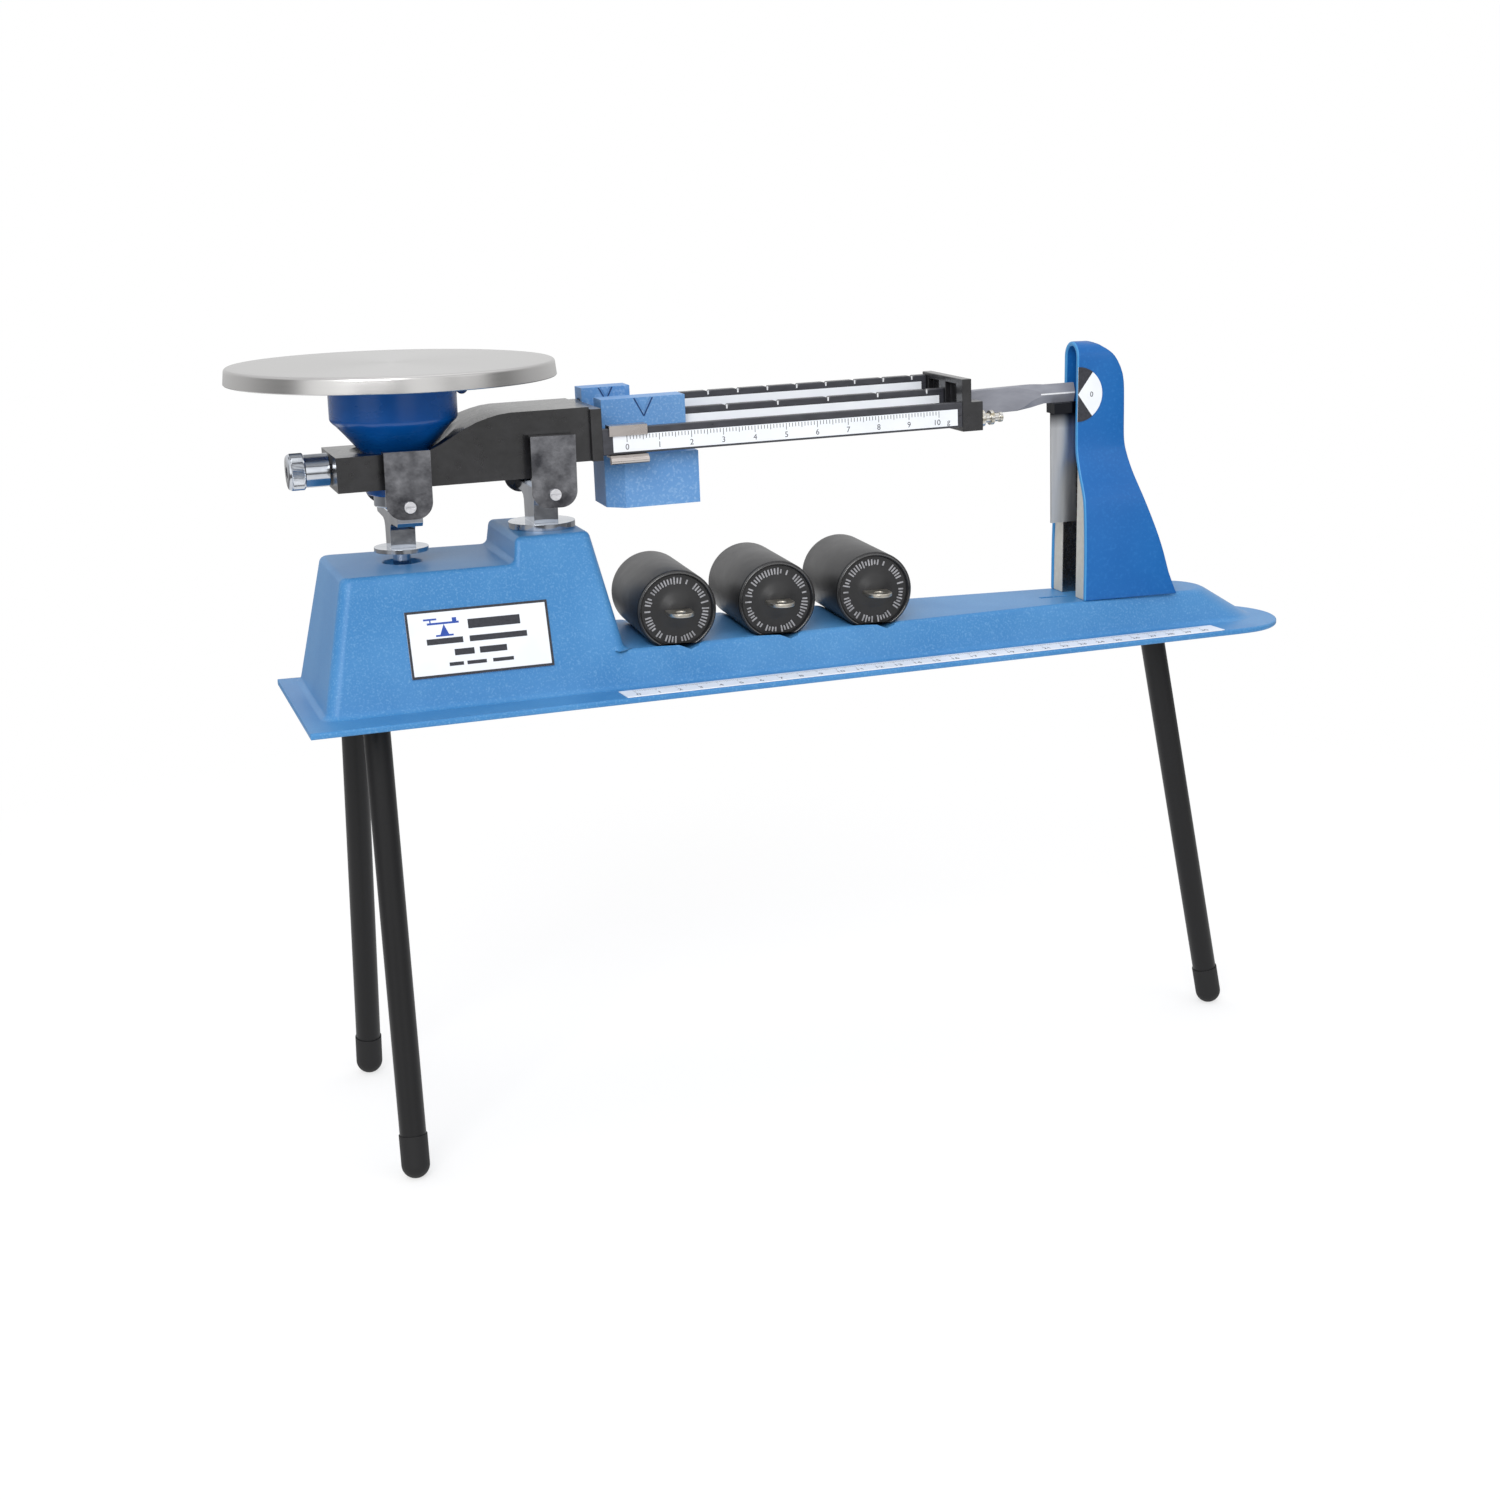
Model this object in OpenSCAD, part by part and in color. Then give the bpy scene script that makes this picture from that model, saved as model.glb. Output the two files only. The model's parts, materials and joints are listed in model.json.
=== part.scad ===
// Triple beam balance on three screw-in legs.
// Millimetres. +X runs from the pan end to the pointer end, -Y is the reading side.
// The floor is z = 0; the origin is the middle of the bounding box at floor level.

/* [Overall] */
// Which node to draw ("all" draws every node)
// Length of the base flange
base_l = 501.5; // [480:0.5:540]
// Height of the flange underside above the floor
stand_h = 209.6; // [120:0.1:260]
// Distance from the pan centre to the left end of the flange
pan_x = 55.25; // [50:0.05:70]
// Distance from the left end of the flange to the fulcrum
fulcrum_x = 120.7; // [115:0.1:130]
// Angle of the beam when the pointer stands at zero
beam_tilt = 1.05; // [0:0.05:2]

/* [Pan] */
// Pan diameter
pan_d = 147; // [130:0.5:147]
// Depth of the turned-down pan rim
pan_rim = 7.3; // [5:0.1:9]
// Pan sheet thickness
pan_t = 1.2; // [0.8:0.1:2]
// Top of the pan above the flange underside
pan_z = 150.7; // [148:0.1:156]
// Outer diameter of the pan cup
cup_d = 57; // [52:0.5:60]

/* [Base] */
// Thickness of the flange
flange_t = 2.8; // [2:0.1:5]
// Wall thickness of the casting
wall = 3.6; // [2.5:0.1:5]
// Half depth of the flange at the left end, reading side
flange_front = 73.5; // [70:0.1:73.5]
// Half depth of the flange at the left end, far side
flange_rear = 41.7; // [40:0.1:60]
// Angle of the reading side of the flange
flange_angle = 4.45; // [3:0.05:5]
// Height of the weight deck
deck_z = 19.7; // [16:0.1:26]
// Height of the low deck under the pan
low_z = 61.3; // [58:0.1:63]
// Height of the step under the fulcrum
step_z = 72.7; // [70:0.1:74]
// Diameter of the stem hole in the low deck
stem_hole_d = 17.5; // [12:0.5:22]
// Width of the printed rule
rule_w = 12.6; // [8:0.1:14]

/* [Legs] */
// Leg diameter
leg_d = 12.1; // [8:0.1:14]
// Diameter of the rubber foot
foot_d = 13; // [11:0.1:15]
// Half spread of the two left legs at the flange
leg_half = 34; // [20:0.5:36]
// Half spread of the two left feet
foot_half = 65.8; // [50:0.1:66]
// Position of the right leg at the flange
leg_right_x = 435.9; // [420:0.1:440]
// Position of the right foot
foot_right_x = 476.4; // [440:0.1:485]
// Length of leg held in its boss
leg_grip = 13; // [8:0.5:15]

/* [Beam] */
// Half width of the beam casting
beam_half = 22; // [21:0.1:22.4]
// Height of the beam pivots
pivot_z = 103; // [101:0.1:105]
// Diameter of the pivot pins
pin_d = 4.4; // [3:0.1:6]
// Thickness of each rail
rail_t = 4.5; // [3:0.1:5]
// Height of each rail
rail_h = 11.8; // [9:0.1:13]
// Distance between neighbouring rails
rail_pitch = 22.1; // [20:0.1:23]
// Step in height from one rail to the next
rail_rise = 4.7; // [3:0.1:6]
// Underside of the front rail
rail_z = 106.2; // [105.8:0.1:108]
// Length of one gram on the front rail
gram = 15.25; // [14:0.01:15.3]
// Distance between notches on the middle rail
notch_mid = 25.2; // [22:0.1:25.3]
// Distance between notches on the rear rail
notch_rear = 14.9; // [13:0.1:15]

/* [Weights] */
// Diameter of an attachment weight
weight_d = 37.5; // [30:0.5:38]
// Length of an attachment weight
weight_l = 60; // [40:1:64]
// Distance between weights
weight_pitch = 50; // [44:0.5:52]
// Depth of the cradles that hold the weights
weight_sink = 3.4; // [1:0.1:3.6]

/* [Fits] */
// Radial clearance of turning pins
run = 0.05; // [0.02:0.01:0.1]
// Gap between sliding pieces
slide = 0.3; // [0.2:0.05:0.5]
// Gap between resting pieces
rest = 0.1; // [0.05:0.01:0.3]

/* [Hidden] */
$fn = 64;
eps = 0.02;
xc = (base_l + pan_x - pan_d / 2) / 2;
ta = tan(flange_angle);
nose_r = 33;
nose_x = base_l - nose_r;
nose_y = -flange_front + nose_x * ta + nose_r / cos(flange_angle);
arm = fulcrum_x - pan_x;
pan_pz = pivot_z - arm * sin(beam_tilt);
pan_px = fulcrum_x - arm * cos(beam_tilt);
link_z = 30;
link_dz = link_z - arm * sin(beam_tilt);
beam_bot = 98.4;
block_top = 114;
rail_x0 = 145;
rail_x1 = 321;
mid_z = rail_z + rail_rise;
rear_z = rail_z + 2 * rail_rise;
rail_y = rail_pitch;
arm_in = beam_half + 1.6;
arm_out = arm_in + 4.9;
arm_w = 11.3;
cover_t = 1.3;
cover_w = 20.6;
under = pan_z - pan_t;
tower_x = base_l - 112.5;
deck_end = base_l - 27.5;
tower_t = 2.2;
weight_z = deck_z + weight_d / 2 - weight_sink;
weight_x = 174.4;
weight_turn = 3;
floor_z = -stand_h;
face_in = 21.2;
plate_z = 16.4;
face_slope = face_in / (step_z + 0.5);

// ---- placing helpers -------------------------------------------------

// part frame: left end of the flange, middle plane, flange underside
module at_base() {
  translate([-xc, 0, stand_h])
    children();
}

// beam frame: the same, turned about the fulcrum by the resting angle
module at_beam() {
  at_base()
    translate([fulcrum_x, 0, pivot_z])
      rotate([0, -beam_tilt, 0])
        translate([-fulcrum_x, 0, -pivot_z])
          children();
}

module along_y(p, d, y0, y1) {
  translate([p[0], y0, p[1]])
    rotate([-90, 0, 0])
      cylinder(d = d, h = y1 - y0);
}

module along_x(y, z, d, x0, x1) {
  translate([x0, y, z])
    rotate([0, 90, 0])
      cylinder(d = d, h = x1 - x0);
}

module box(a, b) {
  translate(a)
    cube([b[0] - a[0], b[1] - a[1], b[2] - a[2]]);
}

module xz_slab(pts, y0, y1) {
  translate([0, y1, 0])
    rotate([90, 0, 0])
      linear_extrude(height = y1 - y0)
        polygon(pts);
}

module yz_slab(pts, x0, x1) {
  translate([x0, 0, 0])
    rotate([90, 0, 90])
      linear_extrude(height = x1 - x0)
        polygon(pts);
}

module disc(x, y, z, r) {
  translate([x, y, z])
    cylinder(r = r, h = 0.02, $fn = 32);
}

// ---- base --------------------------------------------------------------

function front_y(x) = -flange_front + x * ta;

module flange() {
  linear_extrude(height = flange_t)
    union() {
      polygon([[0, -flange_front],
               [nose_x + nose_r * sin(flange_angle), nose_y - nose_r * cos(flange_angle)],
               [nose_x + 2, nose_y + nose_r], [0, flange_rear]]);
      translate([nose_x, nose_y])
        circle(r = nose_r, $fn = 96);
    }
}

// tower under the pan, drafted on every side, i = inset of a face
module tower_body(i, top) {
  hull() {
    disc(14.8 + i, front_y(14.8) + 23.5 + i, -0.5, 6);
    disc(147.4 - i, front_y(147.4) + 23.5 + i, -0.5, 6);
    disc(147.4 - i, 31.5 - i, -0.5, 6);
    disc(14.8 + i, 31.5 - i, -0.5, 6);
    disc(29.8 + i, front_y(29.8) + 22.5 + face_in + i, top, 5);
    disc(132.5 - i, front_y(132.5) + 22.5 + face_in + i, top, 5);
    disc(132.5 - i, 29 - i, top, 5);
    disc(29.8 + i, 29 - i, top, 5);
  }
}

// centre line of a disc that touches a face parallel to the reading edge
function touch_y(x, off, r) = front_y(x) + off + r / cos(flange_angle);

// low body that carries the weights and the pointer tower
module deck_body(i, top) {
  low = 23.5 - 6 / cos(flange_angle) + i;
  high = low + face_slope * (top + 0.5);
  hull() {
    disc(110, touch_y(110, low, 6), -0.5, 6);
    disc(110, 31.5 - i, -0.5, 6);
    disc(deck_end - i, touch_y(deck_end - i, low, 22 - i), -0.5, 22 - i);
    disc(110, touch_y(110, high, 4), top, 4);
    disc(110, 32 - i, top, 4);
    disc(deck_end - 28 - i, touch_y(deck_end - 28 - i, high, 16.8 - i), top, 16.8 - i);
  }
}

module profile(dz) {
  xz_slab([[-5, -1], [-5, low_z - dz], [100.8 + dz, low_z - dz], [102.4 + dz, step_z - dz],
           [160, step_z - dz], [160, -1]], -80, 80);
}

// frame of a weight: on the middle of its front face, y along its axis
module at_weight(k) {
  x = weight_x + k * weight_pitch;
  translate([x, front_y(x) + 23.5, weight_z])
    rotate([0, 0, -weight_turn])
      children();
}

module weight_space(k, extra) {
  at_weight(k)
    translate([0, -extra, 0])
      rotate([-90, 0, 0])
        cylinder(d = weight_d + 2 * extra, h = weight_l + 20);
}

module leg_axis(x0, y0, x1, y1) {
  zf = floor_z + foot_d / 2 - 0.4;
  v = [x0 - x1, y0 - y1, -zf];
  n = norm(v);
  translate([x1, y1, zf])
    rotate([0, acos(v[2] / n), atan2(v[1], v[0])])
      children();
}

function leg_len(x0, y0, x1, y1) = norm([x0 - x1, y0 - y1, floor_z + foot_d / 2 - 0.4]);

module each_leg(which) {
  if (which == 0)
    leg_axis(33.7, -leg_half, 34.4, -foot_half)
      children();
  if (which == 1)
    leg_axis(33.7, leg_half, 34.4, foot_half)
      children();
  if (which == 2)
    leg_axis(leg_right_x, 0, foot_right_x, 0)
      children();
}

l_left = leg_len(33.7, leg_half, 34.4, foot_half);
l_right = leg_len(leg_right_x, 0, foot_right_x, 0);

module bosses() {
  intersection() {
    union() {
      for (k = [0:1])
        each_leg(k)
          translate([0, 0, l_left - 8])
            cylinder(d = leg_d + 8, h = leg_grip + 13);
      each_leg(2)
        translate([0, 0, l_right - 8])
          cylinder(d = leg_d + 8, h = leg_grip + 13);
      box([31.7, -70, 0], [35.7, 60, 24]);
      box([70, -70, 8], [73, -14, 40]);
      box([70, 14, 8], [73, 60, 40]);
      box([200, -70, 8], [203, 60, 17]);
      box([300, -70, 8], [303, 60, 17]);
    }
    union() {
      intersection() {
        tower_body(1, step_z);
        profile(1);
      }
      deck_body(1, deck_z - 1);
    }
    box([-10, -90, 0], [520, 90, 60]);
  }
}

module base_shell() {
  color([0.16, 0.42, 0.72])
    at_base()
      difference() {
        union() {
          difference() {
            union() {
              flange();
              intersection() {
                tower_body(0, step_z);
                profile(0);
                box([-10, -90, 0], [520, 90, 100]);
              }
              intersection() {
                deck_body(0, deck_z - 0.02);
                box([-10, -90, 0], [520, 90, 100]);
              }
            }
            intersection() {
              tower_body(wall, step_z - wall);
              profile(wall);
            }
            deck_body(wall, deck_z - wall - weight_sink + 0.3);
          }
          bosses();
        }
        for (k = [0:2])
          weight_space(k, slide / 2);
        for (k = [0:1])
          each_leg(k)
            translate([0, 0, l_left - 20])
              cylinder(d = leg_d, h = 20 + leg_grip);
        each_leg(2)
          translate([0, 0, l_right - 20])
            cylinder(d = leg_d, h = 20 + leg_grip);
        translate([pan_x, 0, low_z - 10])
          cylinder(d = stem_hole_d, h = 20);
        box([tower_x - 16, -3.6, deck_z - 8], [tower_x - 1, -0.6, deck_z + 3]);
      }
}

module front_rule() {
  color([0.85, 0.87, 0.9])
    at_base()
      translate([0, -flange_front, flange_t])
        rotate([0, 0, flange_angle])
          box([143, 0.6, 0], [459, 0.6 + rule_w, 0.4]);
}

module name_plate() {
  color([0.93, 0.94, 0.95])
    at_base()
      translate([48.8, front_y(48.8) + 17.5 + face_slope * (plate_z + 0.48), plate_z])
        rotate([0, 0, flange_angle])
          rotate([-atan(face_slope * cos(flange_angle)), 0, 0])
            box([0, -0.65, 0], [65.4, -0.05, 29.8]);
}

module leg(which, l) {
  color([0.06, 0.06, 0.07])
    at_base()
      each_leg(which)
        translate([0, 0, 8])
          cylinder(d = leg_d, h = l + leg_grip - 8.1);
}

module foot(which) {
  color([0.03, 0.03, 0.035])
    at_base()
      difference() {
        intersection() {
          each_leg(which)
            union() {
              sphere(d = foot_d);
              cylinder(d = foot_d, h = 14);
            }
          box([-60, -120, floor_z], [600, 120, floor_z + 60]);
        }
        each_leg(which)
          translate([0, 0, 8])
            cylinder(d = leg_d, h = 20);
      }
}

module leg_front() { leg(0, l_left); }
module leg_rear() { leg(1, l_left); }
module leg_right() { leg(2, l_right); }
module foot_front() { foot(0); }
module foot_rear() { foot(1); }
module foot_right() { foot(2); }

// ---- yokes and covers ----------------------------------------------------

// U-shaped yoke seen along X: z0 = top of its disc, zt = top of its arms
// with a neck that is nb wide to either side at its foot
function yoke_half(s, z0, zt, nb) = [
  [s * nb, z0], [s * (nb + 0.6), z0 + 8.5], [s * (nb + 2), z0 + 10.8], [s * (nb + 5), z0 + 12],
  [s * (arm_out - 1.6), z0 + 12.6], [s * arm_out, z0 + 14.4], [s * arm_out, zt],
  [s * arm_in, zt], [s * arm_in, z0 + 17.6], [s * (arm_in - 1.4), z0 + 16.4]];

function yoke_pts(z0, zt, nb) = concat(yoke_half(-1, z0, zt, nb),
  [for (k = [9:-1:0]) yoke_half(1, z0, zt, nb)[k]]);

module yoke(x, z0, zt, nb, dr, dt, bz, bx) {
  difference() {
    union() {
      yz_slab(yoke_pts(z0, zt, nb), x - arm_w / 2, x + arm_w / 2);
      translate([x, 0, z0 - dt])
        cylinder(r = dr, h = dt);
    }
    along_y([bx, bz], pin_d + 2 * run, -arm_out - 1, arm_out + 1);
  }
}

module cover(x, zb, zt, s, sz) {
  mirror([0, s > 0 ? 1 : 0, 0])
    difference() {
      union() {
        intersection() {
          box([x - cover_w / 2, -arm_out - cover_t, zb], [x + cover_w / 2, -arm_out, zt]);
          union() {
            box([x - cover_w, -60, zb + 7], [x + cover_w, 60, zt + 1]);
            along_y([x - cover_w / 2 + 7.5, zb + 7.5], 15, -60, 60);
            along_y([x + cover_w / 2 - 7.5, zb + 7.5], 15, -60, 60);
            box([x - 3, -60, zb - 1], [x + 3, 60, zb + 9]);
          }
        }
        box([x - cover_w / 2, -arm_out - cover_t, zt - cover_t],
            [x + cover_w / 2, -beam_half - 1.2, zt]);
      }
      along_y([x, sz], 3, -60, 0);
    }
}

module screw(x, s, sz) {
  mirror([0, s > 0 ? 1 : 0, 0])
    difference() {
      union() {
        along_y([x, sz], 5.2, -arm_out - cover_t - 1.4, -arm_out - cover_t);
        along_y([x, sz], 3, -arm_out - cover_t - 0.5, -arm_out);
      }
      box([x - 2.1, -arm_out - cover_t - 2, sz - 0.4], [x + 2.1, -arm_out - cover_t - 0.8, sz + 0.4]);
    }
}

module fulcrum_yoke() {
  color([0.75, 0.76, 0.78])
    at_base()
      yoke(fulcrum_x, step_z + 3, 115.5, 9.6, 15.4, 3, pivot_z, fulcrum_x);
}

module fulcrum_cover_front() {
  color([0.62, 0.63, 0.65])
    at_base()
      cover(fulcrum_x, 85.4, 117.6, -1, 91.4);
}

module fulcrum_cover_rear() {
  color([0.62, 0.63, 0.65])
    at_base()
      cover(fulcrum_x, 85.4, 117.6, 1, 91.4);
}

module fulcrum_screw_front() {
  color([0.8, 0.8, 0.82])
    at_base()
      screw(fulcrum_x, -1, 91.4);
}

module fulcrum_screw_rear() {
  color([0.8, 0.8, 0.82])
    at_base()
      screw(fulcrum_x, 1, 91.4);
}

// ---- pointer tower ---------------------------------------------------------

tower_h = [[19.4, 19.7], [19.2, 45], [17.8, 66], [15.4, 74],
  [11.6, 82], [8.6, 90], [7.5, 98], [7.5, 138]];

function tower_side(i, s) = [for (p = tower_h) [s * (p[0] - i), p[1]]];

function tower_ring(i) = concat(
  [for (k = [0:7]) tower_side(i, -1)[k]],
  [for (a = [165:-15:15]) [(7.5 - i) * cos(a), 138 + (7.5 - i) * sin(a)]],
  [for (k = [7:-1:0]) tower_side(i, 1)[k]]);

module tower_outline() {
  translate([tower_x, 0, 0])
    xz_slab([[0, 0], [0, 160], [9, 160], [9, 145.2], [14, 143.2],
             [19.6, 139], [23.4, 133], [25.4, 126], [26.2, 98], [27.4, 90],
             [29.5, 80], [32.4, 70], [36.4, 60], [40.4, 50], [43.8, 40],
             [46.8, 30], [51.3, 19.7], [51.3, 0]], -40, 40);
}

module pointer_tower() {
  color([0.16, 0.42, 0.72])
    at_base()
      difference() {
        intersection() {
          yz_slab(tower_ring(0), tower_x, tower_x + 55);
          tower_outline();
        }
        yz_slab(concat([[-19.4 + tower_t, 0]], tower_ring(tower_t), [[19.4 - tower_t, 0]]),
                tower_x - 1, tower_x + 61);
      }
}

module zero_dial() {
  color([0.9, 0.9, 0.92])
    at_base()
      intersection() {
        along_y([tower_x, 120.3], 26.6, -7.9, -7.5);
        box([tower_x + 0.2, -9, 100], [tower_x + 20, -7, 140]);
      }
}

module damper_block(s) {
  mirror([0, s > 0 ? 1 : 0, 0])
    difference() {
      yz_slab([[-19.4 + tower_t, 19.7], [-19.2 + tower_t, 45], [-17.8 + tower_t, 66],
               [-15.4 + tower_t, 74], [-11.6 + tower_t, 82], [-7.6, 86], [-7.6, 19.7]],
              tower_x + 0.6, tower_x + 26);
      box([tower_x + 6, -20, 30], [tower_x + 22, -9.5, 60]);
    }
}

module damper_block_front() {
  color([0.72, 0.7, 0.66])
    at_base()
      damper_block(-1);
}

module damper_block_rear() {
  color([0.72, 0.7, 0.66])
    at_base()
      damper_block(1);
}

// ---- check link under the base ------------------------------------------------

module link_bracket() {
  color([0.6, 0.61, 0.62])
    at_base()
      difference() {
        union() {
          box([fulcrum_x - 6, -8, link_z - 6], [fulcrum_x + 6, -5, step_z - wall]);
          box([fulcrum_x - 9, -8, step_z - wall - 3], [fulcrum_x + 9, 8, step_z - wall]);
        }
        along_y([fulcrum_x, link_z], 3, -20, 20);
      }
}

module link_fixed_pin() {
  color([0.8, 0.8, 0.82])
    at_base()
      union() {
        along_y([fulcrum_x, link_z], 3, -8, 7.6);
        along_y([fulcrum_x, link_z], 5.4, 7, 8.4);
      }
}

module check_link() {
  color([0.7, 0.71, 0.72])
    at_base()
      translate([fulcrum_x, 0, link_z])
        rotate([0, -beam_tilt, 0])
          difference() {
            union() {
              box([-arm, 3.4, -3], [0, 6.4, 3]);
              along_y([0, 0], 9, 3.4, 6.4);
              along_y([-arm, 0], 9, 3.4, 6.4);
            }
            along_y([0, 0], 3 + 2 * run, -1, 10);
            along_y([-arm, 0], 3, -1, 10);
            box([-arm + 9, 2, -1.2], [-9, 5, 1.2]);
          }
}

module link_moving_pin() {
  color([0.8, 0.8, 0.82])
    at_base()
      union() {
        along_y([pan_px, link_dz], 3, -4.4, 6.4);
        along_y([pan_px, link_dz], 5, 6.4, 7.4);
      }
}

// ---- beam -------------------------------------------------------------------------

cup_pts = [[6.3, 92.5], [14, 92.5], [14, 110.4], [17, 113.3], [27.2, 124.8], [cup_d / 2, 126.2],
           [cup_d / 2, under - rest], [cup_d / 2 - 3, under - rest], [cup_d / 2 - 3, 127], [12.5, 112.4],
           [6.3, 112.4]];

module beam_casting() {
  color([0.05, 0.05, 0.055])
    at_beam()
      difference() {
        union() {
          xz_slab([[25.4, beam_bot], [25.4, block_top], [66, block_top], [72, 116.6], [78, 119.9],
                   [84.3, 123.2], [89, 125.2], [94.4, 126.8], [99, 127.8], [104, 128.3],
                   [140, 128.3], [140, 104], [126, 104], [122, beam_bot]], -beam_half, beam_half);
          box([140, -rail_y - rail_t / 2, 104], [rail_x0, rail_y + rail_t / 2, rear_z + rail_h]);
        }
        translate([pan_px, 0, 0])
          rotate_extrude($fn = 96)
            polygon([[0, 90], [16.2, 90], [16.2, 109.6], [19, 112.4], [29.6, 124.2], [31, 125.6],
                     [31, 140], [0, 140]]);
        box([100, -beam_half + 4, beam_bot - 1], [136, beam_half - 4, 122]);
        along_y([fulcrum_x, pivot_z], pin_d, -40, 40);
        along_y([pan_x, pivot_z], pin_d, -40, 40);
        along_x(0, 106.6, 5, 20, 35);
        box([138, -rail_y + rail_t / 2 + 2, 100], [150, -rail_t / 2 - 2, 118]);
        box([138, rail_t / 2 + 2, 100], [150, rail_y - rail_t / 2 - 2, 118]);
      }
}

module rail(y, z, n, x0, p) {
  difference() {
    box([rail_x0, y - rail_t / 2, z], [rail_x1, y + rail_t / 2, z + rail_h]);
    if (n > 0)
      for (k = [0:n])
        translate([x0 + k * p, y - rail_t, z + rail_h])
          rotate([-90, 0, 0])
            cylinder(r = 1.1, h = 2 * rail_t, $fn = 4);
    box([rail_x0 + 4, y + rail_t / 2 - 1.2, z + 2], [rail_x1 - 4, y + rail_t, z + rail_h - 2]);
  }
}

module rail_front() {
  color([0.07, 0.07, 0.08])
    at_beam()
      rail(-rail_y, rail_z, 0, 0, 0);
}

module rail_middle() {
  color([0.07, 0.07, 0.08])
    at_beam()
      rail(0, mid_z, 5, 186, notch_mid);
}

module rail_rear() {
  color([0.07, 0.07, 0.08])
    at_beam()
      rail(rail_y, rear_z, 10, 164.4, notch_rear);
}

module scale(y, z) {
  at_beam()
    box([rail_x0 + 4.8, y - rail_t / 2 - 0.25, z + 1], [rail_x1 - 2.6, y - rail_t / 2, z + 8.7]);
}

module scale_front() { color([0.93, 0.94, 0.96]) scale(-rail_y, rail_z); }
module scale_middle() { color([0.93, 0.94, 0.96]) scale(0, mid_z); }
module scale_rear() { color([0.93, 0.94, 0.96]) scale(rail_y, rear_z); }

module end_plate() {
  color([0.07, 0.07, 0.08])
    at_beam()
      difference() {
        union() {
          box([rail_x1, -rail_y - rail_t / 2, 104], [rail_x1 + 4.7, rail_y + rail_t / 2, 128.7]);
          box([rail_x1 + 4.7, -rail_y - rail_t / 2, 104], [331.5, -rail_y + 7, 117.8]);
        }
        box([rail_x1 - 1, -rail_y + 5, 106.5], [rail_x1 + 3, -4, 126]);
        box([rail_x1 - 1, 4, 106.5], [rail_x1 + 3, rail_y - 5, 126]);
        along_x(-rail_y + 2, 109.2, 3, 326, 340);
      }
}

module pointer() {
  color([0.12, 0.12, 0.13])
    at_beam()
      xz_slab([[325.7, 108.3], [tower_x - 23, 108.8], [tower_x - 16, 111.4], [tower_x + 2, 111.4],
               [tower_x + 2, 120.6], [tower_x - 23, 121.2], [325.7, 120.4]], -1.6, 1.6);
}

module weight_stud() {
  color([0.7, 0.6, 0.4])
    at_beam()
      union() {
        along_x(-rail_y + 2, 109.2, 3, 326, 334);
        along_x(-rail_y + 2, 109.2, 8, 331.5, 333.5);
        along_x(-rail_y + 2, 109.2, 4.6, 333.5, 336.5);
        along_x(-rail_y + 2, 109.2, 7, 336.5, 338.3);
        along_x(-rail_y + 2, 109.2, 4, 338.3, 341.4);
        along_x(-rail_y + 2, 109.2, 4.8, 341.4, 343);
      }
}

module damper_vane() {
  color([0.82, 0.83, 0.85])
    at_beam()
      difference() {
        union() {
          box([tower_x - 10.6, -0.6, 52], [tower_x + 3, 0.6, 111.4]);
          box([tower_x - 10.6, -4.5, 106.4], [tower_x - 1, 4.5, 111.4]);
        }
        box([tower_x - 7, -2, 58], [tower_x - 1, 2, 64]);
      }
}

module zero_stud() {
  color([0.75, 0.75, 0.77])
    at_beam()
      along_x(0, 106.6, 5, 9, 35);
}

module fulcrum_pin_front() {
  color([0.8, 0.8, 0.82])
    at_beam()
      along_y([fulcrum_x, pivot_z], pin_d, -arm_out + 0.6, -beam_half + 4);
}

module fulcrum_pin_rear() {
  color([0.8, 0.8, 0.82])
    at_beam()
      along_y([fulcrum_x, pivot_z], pin_d, beam_half - 4, arm_out - 0.6);
}

module pan_pin_front() {
  color([0.8, 0.8, 0.82])
    at_beam()
      along_y([pan_x, pivot_z], pin_d, -arm_out + 0.6, -beam_half + 3);
}

module pan_pin_rear() {
  color([0.8, 0.8, 0.82])
    at_beam()
      along_y([pan_x, pivot_z], pin_d, beam_half - 3, arm_out - 0.6);
}

module zero_knob() {
  color([0.75, 0.76, 0.78])
    at_beam()
      difference() {
        union() {
          along_x(0, 106.6, 16.4, 6.4, 14);
          along_x(0, 106.6, 15, 14, 25.1);
          for (k = [0:35])
            translate([7, 0, 106.6])
              rotate([k * 10, 0, 0])
                translate([0, -0.35, 7.9])
                  cube([6.4, 0.7, 0.6]);
        }
        along_x(0, 106.6, 5 + 2 * run, 8.5, 30);
      }
}

// ---- pan hanger -----------------------------------------------------------------

module hanger_yoke() {
  color([0.75, 0.76, 0.78])
    at_base()
      difference() {
        yoke(pan_px, 68.3, 112.6, 6.4, 12.3, 2, pan_pz, pan_px);
        translate([pan_px, 0, 60])
          cylinder(d = 6.4, h = 30);
      }
}

module hanger_stem() {
  color([0.78, 0.79, 0.81])
    at_base()
      difference() {
        union() {
          translate([pan_px, 0, 0])
            rotate_extrude()
              polygon([[0, 23], [4, 23], [4, 34], [3, 36], [3, 52], [4, 54], [4, 66.3], [3.2, 66.3],
                       [3.2, 84.7], [5.6, 84.7], [8.4, 87], [6.2, 87], [6.2, 112], [0, 112]]);
        }
        along_y([pan_px, link_dz], 3 + 2 * run, -10, 10);
        box([pan_px - 10, 3.1, 20], [pan_px + 10, 10, 35]);
        box([pan_px - 10, -10, 20], [pan_px + 10, -3.1, 35]);
      }
}

module stem_nut() {
  color([0.75, 0.76, 0.78])
    at_base()
      translate([pan_px, 0, 0])
        difference() {
          translate([0, 0, 87])
            cylinder(r = 11, h = 5.5);
          translate([0, 0, 80])
            cylinder(r = 6.2, h = 20);
        }
}

module pan_cup() {
  color([0.05, 0.2, 0.5])
    at_base()
      translate([pan_px, 0, 0])
        rotate_extrude($fn = 96)
          polygon(cup_pts);
}

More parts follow.
